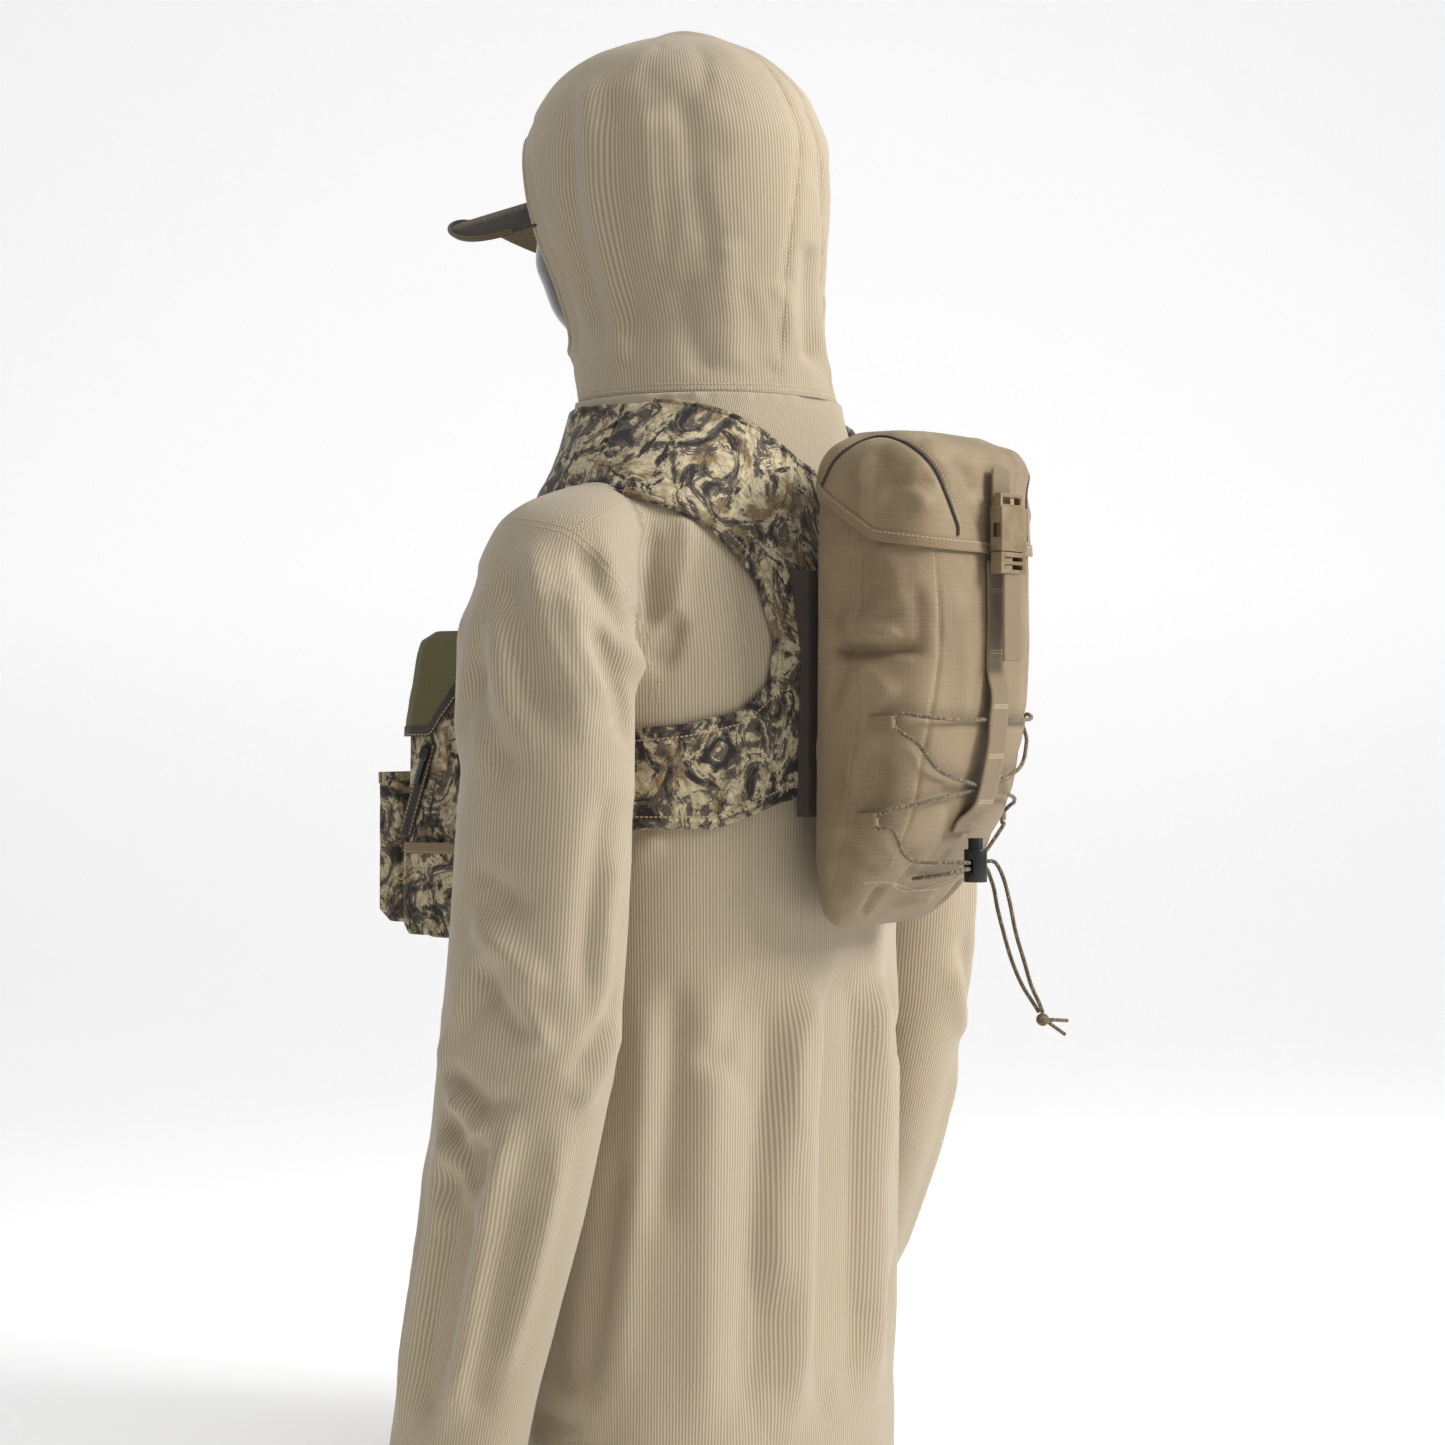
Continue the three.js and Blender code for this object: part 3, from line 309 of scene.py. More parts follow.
class Sections:
    """Level outlines up a soft shape: columns z, x, y, a, b of half-axes, squareness n, made smooth."""

    def __init__(self, rows, squareness, soften):
        rows = np.asarray(rows, float)
        self.z = np.arange(rows[0, 0], rows[-1, 0] + 1, 1.0)
        self.n = squareness
        reach = int(3 * soften)
        kernel = np.exp(-0.5 * (np.arange(-reach, reach + 1) / max(soften, 0.1)) ** 2)
        kernel /= kernel.sum()
        self.columns = []
        for k in range(1, 5):
            values = np.interp(self.z, rows[:, 0], rows[:, k])
            first = 2 * values[0] - values[1 : reach + 1][::-1]
            last = 2 * values[-1] - values[-reach - 1 : -1][::-1]
            padded = np.r_[first, values, last] if reach else values
            self.columns.append(np.convolve(padded, kernel, "valid") if reach else values)

    def at(self, z):
        return [np.interp(z, self.z, column) for column in self.columns]

    def point(self, turn, z, out=0.0):
        """The point at a turn in degrees from +X towards +Y, at height z, standing out from the shape."""
        x, y, a, b = self.at(z)
        c, s = np.cos(np.radians(turn)), np.sin(np.radians(turn))
        px = x + (a + out) * np.sign(c) * np.abs(c) ** (2 / self.n)
        py = y + (b + out) * np.sign(s) * np.abs(s) ** (2 / self.n)
        return np.stack(np.broadcast_arrays(px, py, np.asarray(z, float)), axis=-1)

    def turn_at(self, x, z, back=True):
        """The turn whose point has this x, on the back (+Y) or the front (-Y)."""
        cx, _, a, _ = self.at(z)
        share = np.clip((x - cx) / a, -1, 1)
        c = np.sign(share) * np.abs(share) ** (self.n / 2)
        turn = np.degrees(np.arccos(c))
        return turn if back else -turn

    def outside(self, points):
        """How far points stand outside the outlines, in mm, roughly."""
        x, y, a, b = self.at(points[:, 2])
        rx, ry = (points[:, 0] - x) / np.maximum(a, 1), (points[:, 1] - y) / np.maximum(b, 1)
        radius = (np.abs(rx) ** self.n + np.abs(ry) ** self.n) ** (1 / self.n)
        return (radius - 1) * np.minimum(a, b)

    def closed(self, name, step_z, turns):
        """A closed mesh over the outlines."""
        levels = np.linspace(self.z[0], self.z[-1], int((self.z[-1] - self.z[0]) / step_z) + 2)
        around = np.arange(turns) * 360 / turns
        points = self.point(around[None, :], levels[:, None])
        return new_object(name, points.reshape(-1, 3), capped_faces(len(levels), turns))


def body_rows(shape):
    return [
        (up * NECK, 0, y, wide * SHIRT_WIDTH / 2, deep * SHIRT_DEPTH / 2)
        for up, wide, deep, y in shape
    ]


SHIRT_SHAPE = [
    (0.024, 0.945, 0.96, 0),
    (0.18, 0.923, 0.937, 0),
    (0.475, 0.934, 0.968, 0),
    (0.652, 0.967, 1, 0),
    (0.771, 1, 1, 2),
    (0.854, 1, 0.88, 5),
    (0.896, 0.923, 0.8, 6),
    (0.937, 0.758, 0.762, 5),
    (0.973, 0.615, 0.762, 3),
    (1, 0.533, 0.778, 0),
]
shirt_sections = Sections(body_rows(SHIRT_SHAPE), 2.3, 9)

SLEEVE_WIDTH = 100
SLEEVE_DEPTH = 132
SLEEVE_LINE = 235  # the sleeve's middle at the upper arm, from the form's axis
CUFF = node_box("sleeve_left")[0][2]
# Share of the neck height, outward step, Y, and shares of width and depth.
SLEEVE_SHAPE = [
    (0.144, -1, -46, 0.88, 0.82),
    (0.297, 3, -9, 0.97, 0.94),
    (0.441, 6, 16, 1.06, 1.03),
    (0.534, 5, 23, 1.04, 1.03),
    (0.664, 0, 27, 1.04, 1),
    (0.795, -17, 16, 1.08, 0.97),
    (0.848, -33, 11, 0.98, 0.91),
    (0.884, -47, 9, 0.85, 0.79),
    (0.904, -61, 8, 0.58, 0.55),
    (0.916, -73, 8, 0.12, 0.12),
]


def sleeve_rows(side):
    rows = [(CUFF, side * (SLEEVE_LINE - 4), -64, SLEEVE_WIDTH * 0.43, SLEEVE_DEPTH * 0.386)]
    for up, out, y, wide, deep in SLEEVE_SHAPE:
        half_width, half_depth = wide * SLEEVE_WIDTH / 2, deep * SLEEVE_DEPTH / 2
        rows.append((up * NECK, side * (SLEEVE_LINE + out), y, half_width, half_depth))
    return rows


sleeve_sections = {side: Sections(sleeve_rows(side), 2.1, 5) for side in (1, -1)}

# ---------- free cords ----------
CORD = 3
LOCK_RADIUS = 8.5
GAP = 0.3
KNOT = LOCK + [-46, 30, -114]


def tail_route(lift, aside):
    return [
        LOCK + [-LOCK_RADIUS - GAP, 0, lift],
        LOCK + [-15, 0.5, lift * 1.2],
        LOCK + [-21, 2 + aside, -3 + lift * 2],
        LOCK + [-25, 5 + aside * 1.5, -14 + lift * 2],
        LOCK + [-27, 8 + aside * 2, -30 + lift],
        LOCK + [-29, 12 + aside * 2, -50],
        LOCK + [-32, 17 + aside * 2, -70],
        LOCK + [-36, 22 + aside * 1.5, -88],
        LOCK + [-41, 27 + aside, -101],
        KNOT + [1, -1 + aside * 0.6, 5.5],
    ]


tails = {}
TAIL_STEPS = 60
for tail_name, tail_lift, tail_aside in (("left", 2.2, 2.6), ("right", -2.2, -2.6)):
    tail_points = curve_points(tail_route(tail_lift, tail_aside), TAIL_STEPS)
    tails[tail_name] = (cord_object(f"bungee_tail_cord_{tail_name}", tail_points, CORD), tail_points)


# ---------- materials ----------
class Nodes:
    """A short way to write a node material."""

    def __init__(
        self, name, roughness=0.8, sheen=0.0, coat=0.0, specular=0.5, metallic=0.0, coat_roughness=0.1
    ):
        self.material = bpy.data.materials.new(name)
        self.material.use_nodes = True
        self.tree = self.material.node_tree
        self.shader = self.tree.nodes["Principled BSDF"]
        settings = {
            "Roughness": roughness,
            "Metallic": metallic,
            "Specular IOR Level": specular,
            "Sheen Weight": sheen,
            "Coat Weight": coat,
            "Coat Roughness": coat_roughness,
        }
        for key, value in settings.items():
            self.shader.inputs[key].default_value = value

    def link(self, value, socket):
        if isinstance(value, bpy.types.NodeSocket):
            self.tree.links.new(value, socket)
        else:
            socket.default_value = value

    def position(self):
        return self.tree.nodes.new("ShaderNodeTexCoord").outputs["Object"]

    def attribute(self, name):
        node = self.tree.nodes.new("ShaderNodeAttribute")
        node.attribute_name = name
        return node.outputs["Fac"]

    def math(self, operation, a, b=0.0, c=0.0):
        node = self.tree.nodes.new("ShaderNodeMath")
        node.operation = operation
        self.link(a, node.inputs[0])
        self.link(b, node.inputs[1])
        self.link(c, node.inputs[2])
        return node.outputs[0]

    def rise(self, value, low, high, most=1.0):
        """0 below low, then up to most at high."""
        return self.ramp(value, [(low, 0.0), (high, most)])

    def times(self, a, b):
        return self.math("MULTIPLY", a, b)

    def wave(self, value, length):
        """A sine from 0 to 1 that repeats each length along a value."""
        return self.math("MULTIPLY_ADD", self.math("SINE", self.times(value, 2 * math.pi / length)), 0.5, 0.5)

    def scaled(self, scale, turn=(0, 0, 0)):
        node = self.tree.nodes.new("ShaderNodeMapping")
        self.link(self.position(), node.inputs["Vector"])
        node.inputs["Scale"].default_value = scale
        node.inputs["Rotation"].default_value = turn
        return node.outputs[0]

    def noise(self, scale, detail=3.0, roughness=0.55, distortion=0.0, vector=None):
        node = self.tree.nodes.new("ShaderNodeTexNoise")
        self.link(vector or self.position(), node.inputs["Vector"])
        node.inputs["Scale"].default_value = scale
        node.inputs["Detail"].default_value = detail
        node.inputs["Roughness"].default_value = roughness
        node.inputs["Distortion"].default_value = distortion
        return node.outputs["Fac"]

    def voronoi(self, scale, feature="DISTANCE_TO_EDGE", vector=None):
        node = self.tree.nodes.new("ShaderNodeTexVoronoi")
        node.feature = feature
        self.link(vector or self.position(), node.inputs["Vector"])
        node.inputs["Scale"].default_value = scale
        return node.outputs["Distance"]

    def ramp(self, value, stops):
        node = self.tree.nodes.new("ShaderNodeValToRGB")
        self.link(value, node.inputs[0])
        elements = node.color_ramp.elements
        while len(elements) < len(stops):
            elements.new(0.5)
        for element, (at, colour) in zip(elements, stops):
            element.position = at
            element.color = (*((colour,) * 3 if np.isscalar(colour) else colour), 1)
        return node.outputs[0]

    def link_colour(self, value, socket):
        self.link(value if isinstance(value, bpy.types.NodeSocket) else (*value, 1), socket)

    def mix(self, factor, a, b):
        node = self.tree.nodes.new("ShaderNodeMix")
        node.data_type = "RGBA"
        self.link(factor, node.inputs[0])
        self.link_colour(a, node.inputs[6])
        self.link_colour(b, node.inputs[7])
        return node.outputs[2]

    def colour(self, value):
        self.link_colour(value, self.shader.inputs["Base Color"])

    def relief(self, height, distance, strength=1.0):
        node = self.tree.nodes.new("ShaderNodeBump")
        self.link(height, node.inputs["Height"])
        node.inputs["Distance"].default_value = distance * MM
        node.inputs["Strength"].default_value = strength
        self.tree.links.new(node.outputs[0], self.shader.inputs["Normal"])

    def rough(self, value):
        self.link(value, self.shader.inputs["Roughness"])


def from_srgb(red, green, blue):
    """A colour as seen, 0 to 255, as the linear light that a shader takes."""
    shares = (red / 255, green / 255, blue / 255)
    return tuple(((v + 0.055) / 1.055) ** 2.4 if v > 0.04 else v / 12.92 for v in shares)


SHIRT_LIGHT = from_srgb(186, 173, 150)
# The darker rib colour is painted shade for the grooves between the ribs.
SHIRT_RIB_GROOVE_SHADE = from_srgb(150, 136, 112)


def rib_material():
    """Ribbed knit: ribs run along the cloth, worked out from the turn round the body that it carries."""
    m = Nodes("rib_knit", roughness=0.82, sheen=0.25, specular=0.25)
    turn = m.math("ARCTAN2", m.attribute("rib_s"), m.attribute("rib_c"))
    phase = m.times(turn, m.attribute("rib_n"))
    wave = m.math("MULTIPLY_ADD", m.math("SINE", phase), 0.5, 0.5)
    loops = m.noise(1500, 2, 0.6, vector=m.scaled((1, 1, 0.35)))
    cloudy = m.noise(16, 4, 0.6)
    # Painted shade: the colour darkens where the rib wave sinks, in the grooves, just as the relief does.
    base = m.mix(m.math("POWER", wave, 1.4), SHIRT_RIB_GROOVE_SHADE, SHIRT_LIGHT)
    shaded = m.mix(m.times(m.rise(cloudy, 0.35, 0.7), 0.16), base, from_srgb(150, 134, 108))
    m.colour(m.mix(m.times(loops, 0.2), shaded, from_srgb(140, 124, 98)))
    m.relief(m.math("MULTIPLY_ADD", loops, 0.35, wave), 0.28, 0.55)
    return m.material


def ripstop_material(name, base, dark, light):
    """Coated nylon: a fine plain weave with a raised grid of heavier threads."""
    weave, grid = 1.1, 4.2
    m = Nodes(name, roughness=0.62, sheen=0.1, specular=0.35)
    ways = m.attribute("cloth_u"), m.attribute("cloth_v")
    threads = m.math("MAXIMUM", *(m.wave(way, weave) for way in ways))
    raised = m.math("MAXIMUM", *(m.math("LESS_THAN", m.math("PINGPONG", way, grid / 2), 0.3) for way in ways))
    dust = m.noise(9, 5, 0.6)
    speck = m.noise(700, 2, 0.5)
    colour = m.mix(m.rise(dust, 0.32, 0.72), base, dark)
    # Painted highlight: the raised grid threads are lightened where the relief stands up.
    colour = m.mix(m.times(raised, 0.16), colour, light)
    # Painted shade: the gaps between the weave's threads are darkened where the relief sinks.
    colour = m.mix(m.times(m.math("SUBTRACT", 1.0, threads), 0.35), colour, dark)
    m.colour(m.mix(m.times(speck, 0.18), colour, light))
    height = m.math("MULTIPLY_ADD", raised, 0.9, m.math("MULTIPLY_ADD", speck, 0.3, threads))
    m.relief(height, 0.22, 0.6)
    return m.material


CAMO_CREAM = from_srgb(196, 182, 148)
CAMO_TAN = from_srgb(138, 116, 82)
CAMO_GREY = from_srgb(96, 86, 74)
CAMO_DARK = from_srgb(42, 37, 34)


def camo_material(name="camo_print", painted_shade_level=1.0):
    """A printed pattern of bark, stone and branch-like patches, of no maker's design."""
    m = Nodes(name, roughness=0.85, sheen=0.15, specular=0.25)
    warp = m.noise(28, 4, 0.65, 1.4)
    patches = m.noise(17, 7, 0.66, 1.6, m.scaled((1, 1, 0.8), (0.4, 0.2, 0.9)))
    blots = m.noise(27, 8, 0.7, 2.4, m.scaled((1.15, 1, 0.85), (0.9, 0.5, 0.1)))
    twigs = m.voronoi(58, vector=m.scaled((1.3, 1.1, 0.6), (0.3, 0.7, 0.2)))
    twig_line = m.math("LESS_THAN", m.math("MULTIPLY_ADD", warp, 0.16, twigs), 0.098)
    fine = m.noise(210, 5, 0.7)
    colour = m.ramp(patches, [(0.38, CAMO_TAN), (0.45, CAMO_CREAM), (0.53, CAMO_CREAM), (0.60, CAMO_TAN)])
    colour = m.mix(m.rise(blots, 0.49, 0.52), colour, CAMO_GREY)
    rim = m.math("LESS_THAN", m.math("ABSOLUTE", m.math("SUBTRACT", blots, 0.505)), 0.008)
    colour = m.mix(m.times(rim, 0.8), colour, CAMO_DARK)
    colour = m.mix(m.rise(blots, 0.555, 0.58), colour, CAMO_DARK)
    shadows = m.noise(22, 7, 0.7, 2.6, m.scaled((0.8, 1.3, 1), (0.1, 1.1, 0.4)))
    colour = m.mix(m.ramp(shadows, [(0.40, 1.0), (0.44, 0.0)]), colour, CAMO_DARK)
    colour = m.mix(m.times(twig_line, 0.35), colour, CAMO_DARK)
    colour = m.mix(m.ramp(fine, [(0.42, 0.35), (0.62, 0.0)]), colour, CAMO_DARK)
    # Painted shade: a level below 1 darkens the whole print towards black, giving a shaded copy of the camo.
    if painted_shade_level < 1:
        colour = m.mix(1 - painted_shade_level, colour, (0.01, 0.01, 0.01))
    m.colour(colour)
    m.relief(m.math("MULTIPLY_ADD", m.noise(1100, 2, 0.5), 1.0, fine), 0.25, 0.5)
    return m.material


def plastic_material(name, base, worn, roughness=0.42):
    m = Nodes(name, roughness=roughness, specular=0.45)
    m.colour(m.mix(m.rise(m.noise(60, 5, 0.6), 0.4, 0.75), base, worn))
    m.relief(m.noise(900, 3, 0.6), 0.08, 0.5)
    m.rough(m.ramp(m.noise(45, 4, 0.6), [(0.3, roughness - 0.08), (0.8, roughness + 0.12)]))
    return m.material


def webbing_material(name, base, dark, light):
    """Woven tape: rows across it and a herringbone along it."""
    m = Nodes(name, roughness=0.7, sheen=0.2, specular=0.35)
    along = m.attribute("cloth_v")
    across = m.attribute("cloth_u")
    slant = m.math("PINGPONG", across, 2.1)
    rows = m.wave(m.math("ADD", along, slant), 1.1)
    ends = m.wave(across, 1.05)
    # Painted shade: the rows are darkened where the weave's relief sinks.
    colour = m.mix(m.times(rows, 0.55), dark, base)
    # Painted highlight: the raised ends are lightened where the relief stands up.
    colour = m.mix(m.times(ends, 0.35), colour, light)
    m.colour(m.mix(m.times(m.noise(30, 4), 0.3), colour, dark))
    m.relief(m.math("ADD", rows, ends), 0.25, 0.7)
    return m.material


def cord_material():
    """Braided cover: two sets of slanting strands with pale flecks."""
    m = Nodes("bungee_braid", roughness=0.75, sheen=0.2, specular=0.3)
    strands = m.voronoi(900, "F1", m.scaled((1, 1, 0.6)))
    flecks = m.noise(500, 2, 0.5, vector=m.scaled((1, 1, 0.5)))
    base = m.mix(m.rise(flecks, 0.5, 0.6), from_srgb(104, 90, 66), from_srgb(158, 140, 108))
    m.colour(m.mix(m.rise(strands, 0.2, 0.7, 0.8), base, from_srgb(58, 48, 34)))
    m.relief(strands, 0.5, 0.9)
    return m.material


def gloss_black_material():
    m = Nodes("gloss_black", roughness=0.16, coat=0.2, specular=0.3, coat_roughness=0.08)
    m.colour(m.mix(m.noise(5, 3), from_srgb(12, 12, 13), from_srgb(20, 20, 22)))
    m.relief(m.noise(14, 2), 0.2, 0.15)
    m.rough(m.ramp(m.noise(20, 5), [(0.3, 0.13), (0.8, 0.26)]))
    return m.material


def twill_material(name, base, dark):
    m = Nodes(name, roughness=0.85, sheen=0.2, specular=0.2)
    slant = m.math("MULTIPLY_ADD", m.attribute("cloth_v"), 0.9, m.attribute("cloth_u"))
    ridges = m.wave(slant, 1.2)
    colour = m.mix(m.times(ridges, 0.5), base, dark)
    m.colour(m.mix(m.times(m.noise(40, 5), 0.5), colour, dark))
    m.relief(m.math("MULTIPLY_ADD", m.noise(900, 2), 0.5, ridges), 0.2, 0.6)
    return m.material


def speckled_material(name, scale, light, dark, **settings):
    m = Nodes(name, **settings)
    m.colour(m.mix(m.noise(scale, 2), light, dark))
    return m.material


def tones(*colours):
    return [from_srgb(*colour) for colour in colours]


RIB = rib_material()
PACK_CLOTH = ripstop_material("pack_ripstop", *tones((142, 123, 94), (104, 87, 62), (172, 152, 120)))
OLIVE_CLOTH = ripstop_material("olive_ripstop", *tones((98, 92, 52), (74, 68, 36), (120, 112, 70)))
CAMO = camo_material()
# A shaded copy of the camo print: painted shade, worn by the harness edge bindings.
CAMO_PAINTED_SHADE = camo_material("camo_print_painted_shade", 0.75)
BINDING = webbing_material("binding_tape", *tones((150, 128, 94), (108, 88, 60), (176, 154, 120)))
DARK_BINDING = webbing_material("dark_tape", *tones((66, 56, 44), (36, 30, 24), (92, 80, 62)))
WEBBING = webbing_material("woven_webbing", *tones((140, 118, 86), (98, 80, 54), (168, 146, 112)))
BUNGEE = cord_material()
BUCKLE = plastic_material("buckle_plastic", *tones((112, 94, 68), (136, 118, 90)))
LOCK_PLASTIC = plastic_material("lock_plastic", *tones((22, 22, 22), (38, 38, 38)), 0.36)
GLOSS_BLACK = gloss_black_material()
CAP_CLOTH = twill_material("cap_twill", *tones((104, 86, 56), (66, 52, 32)))
# The cap twill at about half brightness: painted shade for the bill's underside.
CAP_UNDER_PAINTED_SHADE = twill_material("cap_underside_painted_shade", *tones((52, 40, 26), (28, 22, 15)))
DULL = {"roughness": 0.6, "sheen": 0.2}
THREAD = speckled_material("sewing_thread", 800, *tones((176, 156, 122), (140, 120, 90)), **DULL)
SHIRT_THREAD = speckled_material("shirt_thread", 800, *tones((190, 172, 142), (158, 140, 112)), **DULL)
STEEL = speckled_material("spring_steel", 300, (0.55,) * 3, (0.42,) * 3, roughness=0.3, metallic=1.0)


# ---------- folds ----------
def seen_point(tree, right, up):
    """Where the camera's level sight line meets a surface: right of the form's axis, and up, in mm."""
    start = towards * 900 + rightwards * right + [0, 0, up]
    hit = tree.ray_cast(Vector(start * MM), Vector(-towards))
    return np.array(hit[0]) / MM if hit[0] is not None else None


def seen_line(tree, stops, spacing=3.0):
    """A line on the surface through points given as they are seen: (right, up)."""
    dense = even_points(curve_points([(r, u, 0) for r, u in stops], 24 * len(stops)), spacing)
    points = [seen_point(tree, right, up) for right, up, _ in dense]
    points = np.array([p for p in points if p is not None])
    if len(points) < 4:
        return None
    jumps = np.linalg.norm(np.diff(points, axis=0), axis=1)
    keep = np.r_[True, jumps < 8 * spacing]
    return points[keep]


def line_field(points, line, width, taper=0.22):
    """How strongly each point feels a fold along a line: 1 on it, dying away across and at both ends."""
    field = np.zeros(len(points))
    low, high = line.min(axis=0) - 3 * width, line.max(axis=0) + 3 * width
    near = np.where(np.all((points > low) & (points < high), axis=1))[0]
    if not len(near) or len(line) < 2:
        return field
    along = np.linspace(0, 1, len(line))
    ends = smoothstep(along, 0, taper) * smoothstep(1 - along, 0, taper)
    for chunk in np.array_split(near, max(1, len(near) // 20000)):
        gaps = np.linalg.norm(points[chunk][:, None] - line[None], axis=2)
        closest = gaps.argmin(axis=1)
        field[chunk] = bump(gaps[np.arange(len(chunk)), closest], 0, width) * ends[closest]
    return field


def inside_outline(outline, x, z):
    """Which points lie inside a closed outline."""
    inside = np.zeros(len(x), bool)
    ox, oz = np.asarray(outline, float).T
    j = len(ox) - 1
    for i in range(len(ox)):
        crosses = (oz[i] > z) != (oz[j] > z)
        at = (ox[j] - ox[i]) * (z - oz[i]) / np.where(oz[j] == oz[i], 1e-9, oz[j] - oz[i]) + ox[i]
        inside ^= crosses & (x < at)
        j = i
    return inside


# ---------- harness outlines ----------
def below_neck(stops):
    return [(x, NECK - drop) for x, drop in stops]


YOKE_OUTER = below_neck(
    [(170, 68), (122, 102), (92, 143), (83, 183), (90, 218), (112, 238), (150, 248), (220, 258)]
)
YOKE_LOWER = below_neck([(220, 328), (175, 318), (128, 318), (80, 300), (0, 286)])
YOKE_NECK = below_neck([(0, 63), (33, 50), (78, 20), (100, 7), (170, 7)])
YOKE = YOKE_NECK + YOKE_OUTER + YOKE_LOWER
STRAP = below_neck([(60, 143), (76, 83), (80, 43), (84, 7), (170, 7), (170, 68), (125, 98), (98, 143)])


# ---------- shirt ----------
CUFF_INNER = 185  # sleeve cloth lies further out than this at the cuffs
HEM = 20
SHIRT_STEP = 7  # between the rows of points that the shirt is grown from
SHIRT_VOXEL = 5


def shirt_piece():
    """The shirt's body and both sleeves grown together, open at the neck, the hem and the cuffs."""
    parts = [shirt_sections.closed("shirt_cloth", SHIRT_STEP, 110)]
    parts += [sleeve_sections[side].closed(f"sleeve_{side}", SHIRT_STEP, 56) for side in (1, -1)]
    shirt = remesh(join(parts), SHIRT_VOXEL)
    bm = bmesh.new()
    bm.from_mesh(shirt.data)
    ends = []
    for face in bm.faces:
        x, _, z = np.array(face.calc_center_median()) / MM
        if z > NECK - 3 or z < HEM + 3 or (abs(x) > CUFF_INNER and z < CUFF + 4):
            ends.append(face)
    bmesh.ops.delete(bm, geom=ends, context="FACES")
    for vertex in bm.verts:
        if vertex.is_boundary:
            x, z = abs(vertex.co.x / MM), vertex.co.z / MM
            vertex.co.z = (NECK if z > 600 else CUFF if x > CUFF_INNER and z > 38 else HEM) * MM
    bm.to_mesh(shirt.data)
    bm.free()
    shirt.data.shade_smooth()
    return shirt


# Folds as they are seen: (height, width, [(right, up), ...]); a height below zero is a groove.
SLEEVE_FOLDS = [
    (-9, 10, [(-90, 724), (-67, 680), (-50, 646)]),
    (-11, 9, [(-80, 672), (-62, 621), (-50, 580)]),
    (6, 11, [(-78, 712), (-58, 660), (-42, 610)]),
    (6, 12, [(-100, 700), (-84, 650), (-66, 600)]),
    (6, 14, [(-124, 732), (-114, 664), (-86, 606), (-64, 588)]),
    (-5, 11, [(-138, 716), (-122, 650), (-98, 600)]),
    (5, 14, [(-150, 690), (-138, 630), (-122, 568)]),
    (-4, 10, [(-164, 650), (-150, 600), (-136, 560)]),
    (-4, 9, [(-166, 500), (-140, 484), (-118, 462)]),
    (5, 10, [(-168, 470), (-136, 440), (-112, 410)]),
    (-6, 8, [(-162, 436), (-140, 408), (-116, 378)]),
    (5, 9, [(-146, 424), (-124, 396), (-104, 370)]),
    (-7, 7, [(-186, 358), (-168, 346), (-152, 330)]),
    (6, 8, [(-184, 344), (-160, 322), (-140, 296)]),
    (-6, 7, [(-186, 330), (-170, 306), (-150, 276)]),
    (5, 8, [(-188, 316), (-172, 286), (-160, 250)]),
    (9, 10, [(-130, 342), (-150, 260), (-164, 180), (-184, 90)]),
    (-10, 9, [(-146, 340), (-166, 262), (-182, 184), (-204, 100)]),
    (6, 10, [(-96, 330), (-112, 262), (-128, 200), (-156, 120)]),
    (-5, 9, [(-112, 300), (-130, 240), (-144, 180), (-168, 100)]),
    (-4, 10, [(-66, 560), (-78, 480), (-84, 400)]),
    (3, 9, [(-60, 520), (-70, 450), (-72, 380)]),
    (-4, 8, [(-60, 420), (-76, 380), (-96, 352)]),
    (4, 9, [(-58, 396), (-74, 356), (-92, 330)]),
]
BODY_FOLDS = [
    (4, 8, [(-14, 776), (-18, 704), (-34, 650)]),
    (-9, 7, [(-20, 678), (-36, 636)]),
    (3, 7, [(-50, 760), (-52, 700), (-46, 668)]),
    (-4, 7, [(-38, 742), (-42, 700), (-38, 660)]),
    (4, 8, [(-76, 742), (-66, 706), (-56, 676)]),
    (5, 9, [(-70, 540), (-28, 566), (12, 588)]),
    (-4, 9, [(-74, 516), (-34, 544), (4, 570)]),
    (3, 8, [(-66, 492), (-30, 520)]),
    (9, 18, [(72, 440), (68, 300), (65, 180), (59, 60)]),
    (-8, 16, [(98, 430), (92, 300), (90, 180), (86, 60)]),
    (7, 15, [(122, 412), (130, 330), (134, 250), (132, 150)]),
    (-4, 12, [(142, 420), (146, 330), (148, 200)]),
    (-5, 14, [(40, 440), (40, 320), (34, 200), (28, 70)]),
    (4, 16, [(8, 430), (4, 320), (0, 200), (-4, 60)]),
    (-4, 12, [(-22, 430), (-26, 330), (-34, 220)]),
    (4, 12, [(-44, 420), (-46, 320), (-56, 220), (-70, 90)]),
    (-5, 10, [(-62, 300), (-74, 210), (-88, 110)]),
    (3, 7, [(-126, 130), (-104, 112), (-84, 108)]),
    (-3, 6, [(-132, 100), (-110, 90), (-88, 92)]),
    (3, 7, [(-136, 80), (-112, 66), (-84, 62)]),
]
HARNESS_CLEAR = 0.2
FOLD_STRENGTH = 1.55
BODY_DEEPEST = -5.6  # how far cloth may sink before it meets the form
SLEEVE_DEEPEST = -8.2


def crease_lines(points, normals, count, lengths, slope, seed):
    """Small random creases over a surface: start points and the way that each runs."""
    maker = np.random.default_rng(seed)
    lines = []
    for index in maker.choice(len(points), count, replace=False):
        start, normal = points[index], normals[index]
        level = unit(np.cross(normal, [0, 0, 1.0]))
        rise = np.cross(level, normal)
        lean = maker.normal(slope, 0.3)
        way = unit(level * math.sin(lean) + rise * math.cos(lean))
        bend = maker.normal(0, 0.12)
        steps = np.linspace(-0.5, 0.5, 22)[:, None] * maker.uniform(*lengths)
        lines.append(start + way * steps + np.cross(normal, way) * bend * (steps**2) / 30)
    return lines


